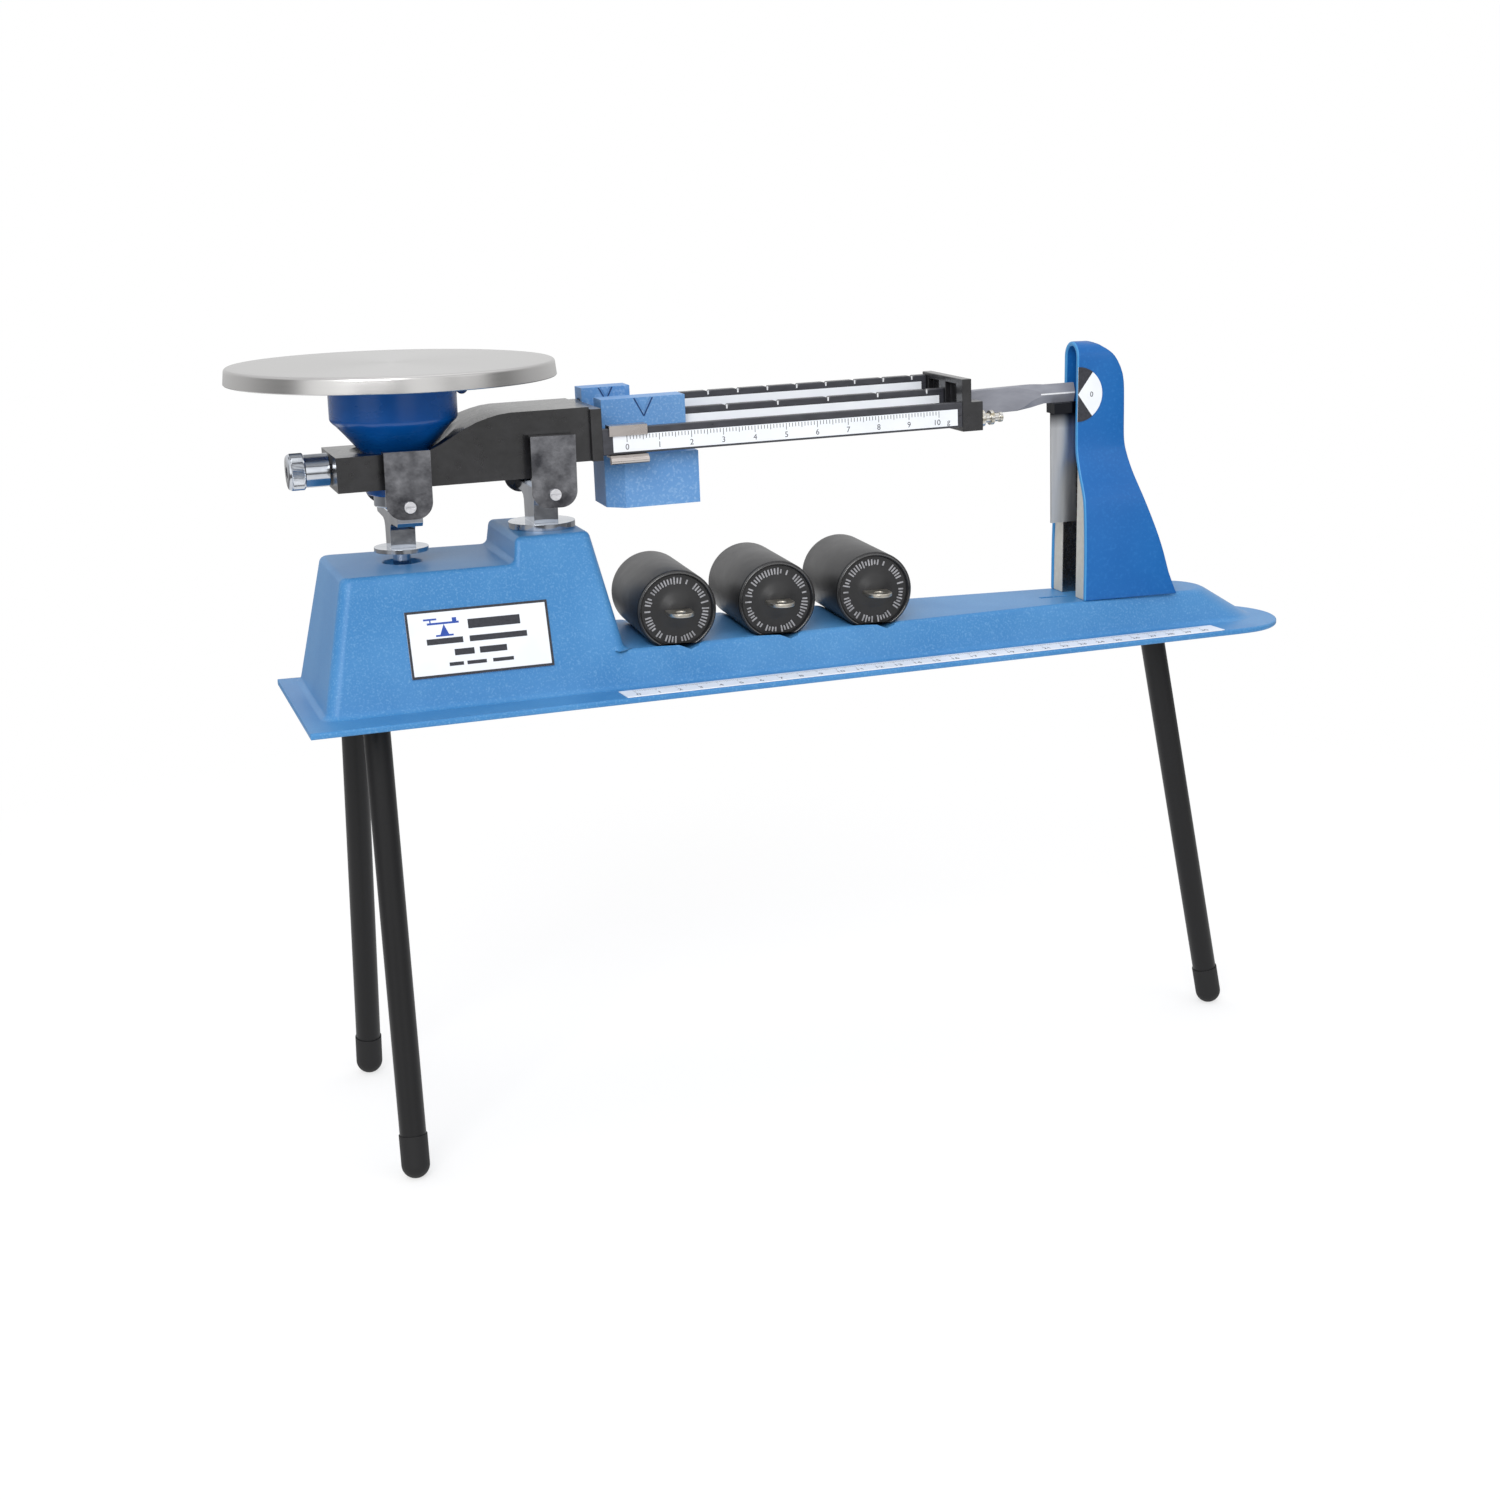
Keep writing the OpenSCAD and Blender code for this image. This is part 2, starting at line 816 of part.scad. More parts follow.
module cup_clip() {
  color([0.06, 0.06, 0.07])
    at_base()
      translate([pan_px + cup_d / 2 + 2.85, 0, 138])
        rotate([90, 0, 0])
          rotate_extrude($fn = 32)
            translate([2, 0])
              circle(r = 0.8, $fn = 16);
}

module hanger_cover_front() {
  color([0.62, 0.63, 0.65])
    at_base()
      cover(pan_px, 84.4, 114.4, -1, 89.9);
}

module hanger_cover_rear() {
  color([0.62, 0.63, 0.65])
    at_base()
      cover(pan_px, 84.4, 114.4, 1, 89.9);
}

module hanger_screw_front() {
  color([0.8, 0.8, 0.82])
    at_base()
      screw(pan_px, -1, 89.9);
}

module hanger_screw_rear() {
  color([0.8, 0.8, 0.82])
    at_base()
      screw(pan_px, 1, 89.9);
}

module pan() {
  color([0.8, 0.79, 0.77])
    at_base()
      translate([pan_x, 0, 0])
        rotate_extrude($fn = 128)
          polygon([[0, under], [pan_d / 2 - pan_t, under], [pan_d / 2 - pan_t, pan_z - pan_rim],
                   [pan_d / 2, pan_z - pan_rim], [pan_d / 2, pan_z - 0.8], [pan_d / 2 - 0.8, pan_z],
                   [0, pan_z]]);
}

// ---- sliding poises -----------------------------------------------------------------

module rider_10g() {
  color([0.75, 0.75, 0.76])
    at_beam()
      translate([148, -rail_y, rail_z])
        union() {
          yz_slab([[-rail_t / 2 - slide - 1, rail_h - 3.4], [-rail_t / 2 - slide - 1, rail_h + slide + 1],
                   [rail_t / 2 + slide + 1, rail_h + slide + 1], [rail_t / 2 + slide + 1, -slide - 1],
                   [-rail_t / 2 - slide - 1, -slide - 1], [-rail_t / 2 - slide - 1, -slide],
                   [rail_t / 2 + slide, -slide], [rail_t / 2 + slide, rail_h + slide],
                   [-rail_t / 2 - slide, rail_h + slide], [-rail_t / 2 - slide, rail_h - 3.4]], 0, 17.8);
          along_x(-rail_t / 2 - slide - 1, -slide - 2.4, 3.4, 0, 17.8);
          yz_slab([[-rail_t / 2 - slide - 1, -slide - 0.2], [-rail_t / 2 - slide, -slide],
                   [-rail_t / 2 - slide, -slide - 2], [-rail_t / 2 - slide - 1, -slide - 2]], 0, 17.8);
        }
}

module poise_500g() {
  color([0.16, 0.42, 0.72])
    at_beam()
      difference() {
        union() {
          translate([0, 0, 80.2])
            linear_extrude(height = 24)
              polygon([[157, -15], [192.5, -15], [192.5, 15], [150, 15], [149.5, -7.5]]);
          box([149.6, -6.6, 104], [189.6, 6.6, 129.3]);
        }
        box([140, -rail_t / 2 - slide, 109.5], [200, rail_t / 2 + slide, mid_z + rail_h + slide]);
        xz_slab([[165.3, 129.4], [169.7, 120.5], [174.1, 129.4], [172.9, 129.4], [169.7, 122.9],
                 [166.5, 129.4]], -7, -6.3);
      }
}

module poise_100g() {
  color([0.16, 0.42, 0.72])
    at_beam()
      difference() {
        box([146.3, rail_y - 6, 107], [169.6, rail_y + 6.4, 132.9]);
        box([140, rail_y - rail_t / 2 - slide, 114],
            [180, rail_y + rail_t / 2 + slide, rear_z + rail_h + slide]);
        xz_slab([[154.5, 133], [157.9, 126.5], [161.3, 133], [160.3, 133], [157.9, 128.4],
                 [155.5, 133]], rail_y - 7, rail_y - 5.7);
      }
}

// ---- attachment weights --------------------------------------------------------------

module weight_body(k) {
  r = weight_d / 2;
  color([0.05, 0.05, 0.055])
    at_base()
      at_weight(k)
        rotate([-90, 0, 0])
          rotate_extrude($fn = 96)
            polygon([[0, -0.6], [3.5, -0.6], [9, 1.6], [r - 2.6, 1.6], [r - 2.6, 0.3],
                     [r - 2.1, 0], [r - 1.2, 0.1], [r - 0.4, 0.7], [r, 1.8],
                     [r, weight_l - 1], [r - 1, weight_l], [0, weight_l]]);
}

module tab(k) {
  color([0.75, 0.73, 0.68])
    at_base()
      at_weight(k)
        translate([0, -0.6, -0.9])
          difference() {
            union() {
              box([-6, -7, 0], [6, 0, 1.8]);
              translate([0, -7, 0])
                cylinder(r = 6, h = 1.8);
            }
            translate([0, -7.2, -1])
              cylinder(r = 2.6, h = 4);
          }
}

module weight_a() { weight_body(0); }
module tab_a() { tab(0); }
module weight_b() { weight_body(1); }
module tab_b() { tab(1); }
module weight_c() { weight_body(2); }
module tab_c() { tab(2); }

base_shell();
front_rule();
name_plate();
leg_front();
leg_rear();
leg_right();
foot_front();
foot_rear();
foot_right();
fulcrum_yoke();
fulcrum_cover_front();
fulcrum_cover_rear();
fulcrum_screw_front();
fulcrum_screw_rear();
pointer_tower();
zero_dial();
damper_block_front();
damper_block_rear();
link_bracket();
link_fixed_pin();
beam_casting();
rail_front();
rail_middle();
rail_rear();
scale_front();
scale_middle();
scale_rear();
end_plate();
pointer();
weight_stud();
damper_vane();
zero_stud();
fulcrum_pin_front();
fulcrum_pin_rear();
pan_pin_front();
pan_pin_rear();
zero_knob();
hanger_yoke();
hanger_stem();
stem_nut();
pan_cup();
cup_clip();
hanger_cover_front();
hanger_cover_rear();
hanger_screw_front();
hanger_screw_rear();
pan();
check_link();
link_moving_pin();
rider_10g();
poise_500g();
poise_100g();
weight_a();
tab_a();
weight_b();
tab_b();
weight_c();
tab_c();
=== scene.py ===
import json
import math

import bmesh
import bpy
from mathutils import Matrix, Vector


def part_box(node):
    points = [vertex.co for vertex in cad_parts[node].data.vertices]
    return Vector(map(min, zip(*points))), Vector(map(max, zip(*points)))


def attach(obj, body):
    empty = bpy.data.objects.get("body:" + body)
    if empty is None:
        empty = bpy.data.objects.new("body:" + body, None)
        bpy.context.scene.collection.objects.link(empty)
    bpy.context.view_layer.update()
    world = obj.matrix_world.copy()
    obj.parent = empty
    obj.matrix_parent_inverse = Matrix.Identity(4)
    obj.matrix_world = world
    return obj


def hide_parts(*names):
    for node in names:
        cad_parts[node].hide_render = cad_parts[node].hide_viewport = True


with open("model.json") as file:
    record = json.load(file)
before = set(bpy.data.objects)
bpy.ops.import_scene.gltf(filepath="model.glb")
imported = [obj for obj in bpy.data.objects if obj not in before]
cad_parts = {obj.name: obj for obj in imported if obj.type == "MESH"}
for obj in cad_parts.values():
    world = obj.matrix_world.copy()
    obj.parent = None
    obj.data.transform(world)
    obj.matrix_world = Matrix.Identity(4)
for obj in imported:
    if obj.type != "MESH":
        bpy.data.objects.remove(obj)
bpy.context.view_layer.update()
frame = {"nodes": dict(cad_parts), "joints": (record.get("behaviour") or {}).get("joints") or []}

# ---- Base casting --------------------------------------------------------------------
# One thin-walled aluminium casting: a flat flange, a low deck for the weights and a
# taller stand under the beam. It is painted with a fine-grained satin blue enamel.

mm = 0.001
casting_lo, casting_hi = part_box("base_shell")


def at(x, y, z):
    """A point measured in millimetres from the flange's left end, middle and underside."""
    return Vector((casting_lo.x + x * mm, y * mm, casting_lo.z + z * mm))


def srgb(red, green, blue):
    """The shader's own colour for a colour given in the usual 0 to 255."""
    linear = [((c / 255 + 0.055) / 1.055) ** 2.4 if c > 10 else c / 3295 for c in (red, green, blue)]
    return (*linear, 1.0)


class Flow:
    """A value in a material, which takes Python's own operators."""

    def __init__(self, tree, socket):
        self.tree = tree
        self.socket = socket

    def maths(self, operation, first, second):
        node = self.tree.nodes.new("ShaderNodeMath")
        node.operation = operation
        for slot, value in zip(node.inputs, (first, second)):
            feed(self.tree, slot, value)
        return Flow(self.tree, node.outputs[0])

    def __add__(self, other):
        return self.maths("ADD", self, other)

    def __radd__(self, other):
        return self.maths("ADD", other, self)

    def __sub__(self, other):
        return self.maths("SUBTRACT", self, other)

    def __rsub__(self, other):
        return self.maths("SUBTRACT", other, self)

    def __mul__(self, other):
        return self.maths("MULTIPLY", self, other)

    def __rmul__(self, other):
        return self.maths("MULTIPLY", other, self)

    def __truediv__(self, other):
        return self.maths("DIVIDE", self, other)

    def __pow__(self, other):
        return self.maths("POWER", self, other)

    def __gt__(self, other):
        return self.maths("GREATER_THAN", self, other)

    def __lt__(self, other):
        return self.maths("LESS_THAN", self, other)


def feed(tree, slot, value):
    """Links a value made in the tree to a socket, or sets a plain value on it."""
    if isinstance(value, Flow):
        tree.links.new(value.socket, slot)
    else:
        slot.default_value = value


class Finish:
    """A procedural material, built round one Principled shader."""

    def __init__(self, name, fixed):
        self.material = bpy.data.materials.new(name)
        self.material.use_nodes = True
        self.tree = self.material.node_tree
        self.skin = self.tree.nodes["Principled BSDF"]
        self.place = self.node("ShaderNodeTexCoord", out="Object")
        self.wear(fixed)

    def node(self, kind, settings=(), sockets=(), out=0):
        made = self.tree.nodes.new(kind)
        for key, value in dict(settings).items():
            if key == "stops":
                ramp = made.color_ramp
                while len(ramp.elements) < len(value):
                    ramp.elements.new(0.5)
                for element, (position, colour) in zip(ramp.elements, value):
                    element.position = position
                    element.color = colour
            else:
                setattr(made, key, value)
        for key, value in dict(sockets).items():
            feed(self.tree, made.inputs[key], value)
        return Flow(self.tree, made.outputs[out])

    def wear(self, sockets):
        for key, value in sockets.items():
            feed(self.tree, self.skin.inputs[key], value)

    def noise(self, scale, detail=2.0, stretch=(1, 1, 1), where=None):
        spot = self.node("ShaderNodeMapping", sockets={"Vector": where or self.place, "Scale": stretch})
        grain = {"Vector": spot, "Scale": scale, "Detail": detail, "Roughness": 0.55}
        return self.node("ShaderNodeTexNoise", sockets=grain, out="Fac")

    def ramp(self, value, stops):
        grey = [(position, (level, level, level, 1)) for position, level in stops]
        return self.node("ShaderNodeValToRGB", {"stops": grey}, {"Fac": value}, out="Color")

    def mix(self, factor, first, second):
        sockets = {0: factor, 6: first, 7: second}
        return self.node("ShaderNodeMix", {"data_type": "RGBA"}, sockets, out=2)

    def bumps(self, height, depth):
        normal = self.node("ShaderNodeBump", sockets={"Height": height, "Distance": depth}, out="Normal")
        self.wear({"Normal": normal})


def enamel(name, shade, light, dark, roughness, grain, depth):
    """Powder-fine enamel: a grain of lighter and darker specks, with a soft mottle under it."""
    paint = Finish(name, {"Specular IOR Level": 0.28, "Coat Roughness": 0.25})
    mottle = paint.ramp(paint.noise(22, 3), [(0.35, 0.0), (0.65, 1.0)])
    specks = paint.noise(grain, 2)
    body = paint.mix(mottle, dark, shade)
    lit = paint.ramp(specks, [(0.52, 0.0), (0.72, 1.0)])
    paint.wear({"Base Color": paint.mix(lit * 0.35, body, light)})
    paint.wear({"Roughness": roughness + (specks - 0.5) * 0.3})
    paint.wear({"Coat Weight": 0.05 + mottle * 0.06})
    paint.bumps(specks, depth * mm)
    return paint


blue_paint = enamel("blue_enamel", srgb(72, 134, 188), srgb(128, 176, 212), srgb(60, 124, 180),
                    0.42, 1100, 0.06)


def place(obj, body, finish, node=None):
    """Gives a finished piece its material and its body, and hides the CAD node it stands for."""
    obj.data.materials.clear()
    obj.data.materials.append(finish.material)
    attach(obj, body)
    if node:
        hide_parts(node)
    return obj


def baked(obj, name):
    """A plain mesh object from an object with its modifiers worked out."""
    bpy.context.view_layer.update()
    solved = obj.evaluated_get(bpy.context.evaluated_depsgraph_get())
    mesh = bpy.data.meshes.new_from_object(solved)
    bpy.data.objects.remove(obj)
    made = bpy.data.objects.new(name, mesh)
    bpy.context.scene.collection.objects.link(made)
    return made


def shaded(obj, angle):
    """Smooth shading that breaks at edges sharper than the angle."""
    obj.data.shade_smooth()
    obj.data.set_sharp_from_angle(angle=math.radians(angle))
    return obj


def from_bmesh(bm, name, angle=32):
    """An object from a bmesh, with its faces turned outwards."""
    bmesh.ops.recalc_face_normals(bm, faces=bm.faces)
    mesh = bpy.data.meshes.new(name)
    bm.to_mesh(mesh)
    bm.free()
    obj = bpy.data.objects.new(name, mesh)
    bpy.context.scene.collection.objects.link(obj)
    return shaded(obj, angle)


def merged_copy(node, reach=0.002):
    """A CAD node's mesh as one skin, with points closer than the reach joined and flat faces whole."""
    bm = bmesh.new()
    bm.from_mesh(frame["nodes"][node].data)
    bmesh.ops.remove_doubles(bm, verts=bm.verts, dist=reach * mm)
    bmesh.ops.dissolve_limit(bm, angle_limit=math.radians(0.6), verts=bm.verts, edges=bm.edges)
    return bm


def softened(node, body, finish, radius, angle=33, segments=3):
    """The CAD node with its edges rounded, as they are when a real part is tumbled or painted."""
    obj = from_bmesh(merged_copy(node), "edge_work")
    edge = obj.modifiers.new("edge", "BEVEL")
    edge.width = radius * mm
    edge.segments = segments
    edge.limit_method = "ANGLE"
    edge.angle_limit = math.radians(angle)
    edge.miter_outer = "MITER_ARC"
    flat = obj.modifiers.new("flat", "WEIGHTED_NORMAL")
    flat.keep_sharp = True
    return place(baked(obj, node + "_skin"), body, finish, node)


# The cradles open in the deck's front edge, where there is room for only a small rounding.
cradle_mouths = [(174.4, -36.4), (224.4, -32.5), (274.4, -28.6)]
cradle_reach = 14
deck_from = 143.5


def rounding_of(edge, stem_hole):
    """How much of the casting's full radius an edge gets, from 0 to 1."""
    if len(edge.link_faces) != 2 or edge.calc_face_angle(0) < math.radians(24):
        return 0
    middle = (edge.verts[0].co + edge.verts[1].co) / 2
    lean = (edge.link_faces[0].normal + edge.link_faces[1].normal).normalized()
    height = (middle.z - casting_lo.z) / mm
    if height < 0.1 or (height < 3 and edge.is_convex):
        return 0.4
    if lean.z < -0.1 or outer_skin.ray_cast(middle + lean * 0.3 * mm, lean)[0]:
        return 0
    if (middle - stem_hole).xy.length < 12 * mm:
        return 0.3
    if (middle - at(381, -2, 0)).xy.length < 10 * mm:
        return 0.1
    if any((middle - at(x, y, 19)).length < cradle_reach * mm for x, y in cradle_mouths):
        return 0.15
    if 19 < height < 20.5 and middle.y < 0 and middle.x < at(deck_from, 0, 0).x:
        return 0
    return 1


casting = merged_copy("base_shell", 0.03)
bmesh.ops.bisect_plane(casting, geom=casting.verts[:] + casting.edges[:] + casting.faces[:],
                       plane_co=at(deck_from, 0, 0), plane_no=(1, 0, 0))
for face in casting.faces:
    face.normal_update()
outer_skin = frame["nodes"]["base_shell"]
bevel_layer = casting.edges.layers.float.new("bevel_weight_edge")
for edge in casting.edges:
    edge[bevel_layer] = rounding_of(edge, at(55.25, 0, 61))
casting_obj = from_bmesh(casting, "casting_work")
round_edges = casting_obj.modifiers.new("round", "BEVEL")
round_edges.width = 2.4 * mm
round_edges.segments = 4
round_edges.limit_method = "WEIGHT"
round_edges.use_clamp_overlap = False
even_faces = casting_obj.modifiers.new("even", "WEIGHTED_NORMAL")
even_faces.keep_sharp = True
place(baked(casting_obj, "base_casting"), "base", blue_paint, "base_shell")

# ---- Printed rule --------------------------------------------------------------------
# A white plastic strip, 30 cm long, stuck along the reading edge of the flange.
# Millimetre lines are printed from its far edge and the centimetres are numbered.

flange_turn = math.radians(4.45)
rule_lo, rule_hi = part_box("front_rule")
rule_start = 143
rule_zero = 6.4
rule_frame = Matrix.Translation(at(0, -73.5, 0)) @ Matrix.Rotation(flange_turn, 4, "Z")
rule_top = rule_hi.z - casting_lo.z

print_white = Finish("printed_white", {"Specular IOR Level": 0.45})
fade = print_white.noise(60, 3)
print_white.wear({"Base Color": print_white.mix(fade, srgb(222, 226, 233), srgb(240, 243, 247))})
print_white.wear({"Roughness": 0.34 + fade * 0.15})
print_white.bumps(print_white.noise(700, 2), 0.01 * mm)

print_black = Finish("printed_black", {"Specular IOR Level": 0.3})
ink = print_black.noise(900, 2)
print_black.wear({"Base Color": print_black.mix(ink, srgb(34, 35, 40), srgb(66, 67, 74))})
print_black.wear({"Roughness": 0.45 + ink * 0.2})


def geometry_tree(name, inputs):
    """An empty Geometry Nodes tree with named number inputs, and a way to add nodes to it."""
    tree = bpy.data.node_groups.new(name, "GeometryNodeTree")
    for label, kind, value in inputs:
        socket = tree.interface.new_socket(label, in_out="INPUT", socket_type=kind)
        if value is not None:
            socket.default_value = value
    tree.interface.new_socket("Mesh", in_out="OUTPUT", socket_type="NodeSocketGeometry")
    entry = tree.nodes.new("NodeGroupInput")

    def add(kind, settings=(), sockets=(), out=0):
        made = tree.nodes.new(kind)
        for key, value in dict(settings).items():
            setattr(made, key, value)
        for key, value in dict(sockets).items():
            if isinstance(value, str):
                tree.links.new(entry.outputs[value], made.inputs[key])
            elif isinstance(value, bpy.types.NodeSocket):
                tree.links.new(value, made.inputs[key])
            else:
                made.inputs[key].default_value = value
        return made.outputs[out]

    return tree, add


def grown(tree, name, values):
    """A plain mesh from a tree, with its inputs set by their identifiers."""
    obj = bpy.data.objects.new(name, bpy.data.meshes.new(name))
    bpy.context.scene.collection.objects.link(obj)
    grow = obj.modifiers.new("grow", "NODES")
    grow.node_group = tree
    for item in tree.interface.items_tree:
        if item.in_out == "INPUT" and item.name in values:
            grow[item.identifier] = values[item.name]
    return baked(obj, name)


# Lines hang from z = 0 and stand along x: every tenth is long and every fifth is middling.
ruling, add = geometry_tree("ruling", [
    ("Count", "NodeSocketInt", 11), ("Pitch", "NodeSocketFloat", mm),
    ("Width", "NodeSocketFloat", 0.2 * mm), ("Short", "NodeSocketFloat", mm),
    ("Middle", "NodeSocketFloat", 1.5 * mm), ("Long", "NodeSocketFloat", 2 * mm),
    ("Thickness", "NodeSocketFloat", 0.04 * mm), ("Ink", "NodeSocketMaterial", None)])
order = add("GeometryNodeInputIndex")
tenth = add("ShaderNodeMath", {"operation": "MODULO"}, {0: order, 1: 10.0})
fifth = add("ShaderNodeMath", {"operation": "MODULO"}, {0: order, 1: 5.0})
is_tenth = add("ShaderNodeMath", {"operation": "LESS_THAN"}, {0: tenth, 1: 0.5})
is_fifth = add("ShaderNodeMath", {"operation": "LESS_THAN"}, {0: fifth, 1: 0.5})
plain = add("GeometryNodeSwitch", {"input_type": "FLOAT"}, {0: is_fifth, 1: "Short", 2: "Middle"})
drop = add("GeometryNodeSwitch", {"input_type": "FLOAT"}, {0: is_tenth, 1: plain, 2: "Long"})
step = add("ShaderNodeCombineXYZ", sockets={"X": "Pitch"})
stand = add("GeometryNodeMeshLine", sockets={"Count": "Count", "Offset": step})
half_drop = add("ShaderNodeMath", {"operation": "MULTIPLY"}, {0: drop, 1: -0.5})
hang = add("ShaderNodeCombineXYZ", sockets={"Z": half_drop})
hung = add("GeometryNodeSetPosition", sockets={"Geometry": stand, "Offset": hang})
bar = add("GeometryNodeMeshCube", sockets={"Size": (1.0, 1.0, 1.0)})
shape = add("ShaderNodeCombineXYZ", sockets={"X": "Width", "Y": "Thickness", "Z": drop})
lines = add("GeometryNodeInstanceOnPoints", sockets={"Points": hung, "Instance": bar, "Scale": shape})
solid_lines = add("GeometryNodeRealizeInstances", sockets={"Geometry": lines})
inked = add("GeometryNodeSetMaterial", sockets={"Geometry": solid_lines, "Material": "Ink"})
ruling.links.new(inked, ruling.nodes.new("NodeGroupOutput").inputs[0])


def lines_at(name, matrix, body, values, finish=None):
    """A row of printed lines, laid where the matrix says."""
    ink_used = finish or print_black
    values["Ink"] = ink_used.material
    made = grown(ruling, name, values)
    made.data.transform(matrix)
    return place(made, body, ink_used)


def figures(name, marks, size, matrix, body, finish=None):
    """Printed figures as one mesh: marks are (text, x, y) on the matrix's own x-y plane."""
    bm = bmesh.new()
    for text, x, y in marks:
        curve = bpy.data.curves.new("figure", "FONT")
        curve.body = text
        curve.size = size
        curve.align_x = "CENTER"
        curve.extrude = 0.02 * mm
        letter = bpy.data.objects.new("figure", curve)
        bpy.context.scene.collection.objects.link(letter)
        flat = baked(letter, "figure_mesh")
        flat.data.transform(matrix @ Matrix.Translation((x, y, 0)))
        bm.from_mesh(flat.data)
        bpy.data.objects.remove(flat)
    return place(from_bmesh(bm, name), body, finish or print_black)


softened("front_rule", "base", print_white, 0.12)
rule_zero_x = (rule_start + rule_zero) * mm
rule_far = 12.2 * mm
rule_lines = {"Count": 301, "Pitch": mm, "Width": 0.16 * mm, "Short": 2.2 * mm, "Middle": 3.2 * mm,
              "Long": 4.4 * mm, "Thickness": 0.05 * mm}
rule_place = rule_frame @ Matrix.Translation((rule_zero_x, rule_far, rule_top))
lines_at("rule_lines", rule_place @ Matrix.Rotation(math.radians(-90), 4, "X"), "base", rule_lines)
numbers = [(str(k), rule_zero_x + k * 10 * mm, 2.6 * mm) for k in range(31)]
figures("rule_figures", numbers, 4.4 * mm, rule_frame @ Matrix.Translation((0, 0, rule_top)), "base")

# ---- Name plate ----------------------------------------------------------------------
# A thin printed aluminium plate glued to the sloping face of the stand. It carries a
# black border, a small drawing of a balance and plain bars where a maker's lines would be.

plate = frame["nodes"]["name_plate"]
softened("name_plate", "base", print_white, 0.15)
plate_faces = sorted(plate.data.polygons, key=lambda p: p.normal.y)
plate_out = plate_faces[0].normal.copy()
plate_right = Vector((math.cos(flange_turn), math.sin(flange_turn), 0))
plate_up = plate_out.cross(plate_right).normalized()
if plate_up.z < 0:
    plate_up = -plate_up
front_points = [v.co for v in plate.data.vertices
                if (v.co - plate_faces[0].center).dot(plate_out) > -0.1 * mm]
plate_low = min(p.dot(plate_up) for p in front_points)
plate_left = min(p.dot(plate_right) for p in front_points)
plate_face = plate_faces[0].center.dot(plate_out)
plate_axes = Matrix((plate_right, plate_up, plate_out)).transposed().to_4x4()
plate_frame = plate_axes @ Matrix.Translation((plate_left, plate_low, plate_face))
plate_w = 65.4
plate_h = 29.8


def flat_shapes(name, shapes, matrix, body, finish, depth=0.05):
    """Thin printed shapes, each a list of corners in millimetres on the matrix's x-y plane."""
    bm = bmesh.new()
    for corners in shapes:
        low = [bm.verts.new(matrix @ Vector((x * mm, y * mm, -depth / 2 * mm))) for x, y in corners]
        high = [bm.verts.new(matrix @ Vector((x * mm, y * mm, depth * mm))) for x, y in corners]
        bm.faces.new(low[::-1])
        bm.faces.new(high)
        for k in range(len(corners)):
            n = (k + 1) % len(corners)
            bm.faces.new((low[k], low[n], high[n], high[k]))
    return place(from_bmesh(bm, name), body, finish)


def bar_shape(x0, y0, x1, y1):
    return [(x0, y0), (x1, y0), (x1, y1), (x0, y1)]


border = 1.1
edge_bars = [bar_shape(0, 0, plate_w, border), bar_shape(0, plate_h - border, plate_w, plate_h),
             bar_shape(0, border, border, plate_h - border),
             bar_shape(plate_w - border, border, plate_w, plate_h - border)]
maker_bars = [bar_shape(28, 20.2, 52, 24.4), bar_shape(8.5, 14.4, 25, 17), bar_shape(28, 14.4, 54.5, 17),
              bar_shape(20.5, 8.9, 29.5, 11.7), bar_shape(32, 8.9, 44.5, 11.7), bar_shape(17.5, 4.4, 24, 6),
              bar_shape(25.6, 4.4, 34.5, 6), bar_shape(37.4, 4.4, 47, 6)]
flat_shapes("plate_print", edge_bars + maker_bars, plate_frame, "base", print_black)
print_blue = Finish("printed_blue", {"Specular IOR Level": 0.4})
tint = print_blue.noise(500, 2)
print_blue.wear({"Base Color": print_blue.mix(tint, srgb(28, 62, 150), srgb(44, 84, 170))})
print_blue.wear({"Roughness": 0.4 + tint * 0.15})
drawing = [[(15, 18.6), (19, 18.6), (17, 23.2)], bar_shape(9.5, 23.2, 24, 24.1), bar_shape(8, 25.2, 14, 26),
           bar_shape(10.7, 24.1, 11.3, 25.2), bar_shape(21, 24.1, 23, 25.8), bar_shape(13, 17.8, 21, 18.6)]
flat_shapes("plate_drawing", drawing, plate_frame, "base", print_blue)

# ---- Legs and feet -------------------------------------------------------------------
# Three steel tubes screw into bosses under the casting and spread towards the table.
# They are powder coated satin black, and each ends in a domed rubber tip.

tube_black = Finish("black_tube", {"Specular IOR Level": 0.3})
drift = tube_black.noise(40, 4, (1, 1, 0.15))
dust = tube_black.noise(1900, 2)
tube_black.wear({"Base Color": tube_black.mix(drift, srgb(8, 8, 9), srgb(18, 18, 20))})
tube_black.wear({"Roughness": 0.34 + drift * 0.16})
tube_black.bumps(dust, 0.012 * mm)

rubber = Finish("black_rubber", {"Specular IOR Level": 0.35})
bloom = rubber.noise(180, 4)
rubber.wear({"Base Color": rubber.mix(bloom, srgb(10, 10, 11), srgb(24, 24, 26))})
rubber.wear({"Roughness": 0.5 + bloom * 0.25})
rubber.bumps(rubber.noise(1200, 3), 0.03 * mm)

for corner in ("front", "rear", "right"):
    softened("leg_" + corner, "base", tube_black, 0.4)
    softened("foot_" + corner, "base", rubber, 0.45)

# ---- Pivot yokes and covers ----------------------------------------------------------
# U-shaped yokes of chromed steel carry the beam and hang the pan from it. A folded
# steel cover, held by one slotted screw, closes each bearing against dust.

chrome = Finish("chrome_plate", {"Metallic": 1.0})
haze = chrome.ramp(chrome.noise(55, 4), [(0.35, 0.0), (0.7, 1.0)])
chrome.wear({"Base Color": chrome.mix(haze, srgb(168, 174, 184), srgb(206, 210, 216))})
chrome.wear({"Roughness": 0.07 + haze * 0.1})
chrome.bumps(chrome.noise(120, 3), 0.03 * mm)

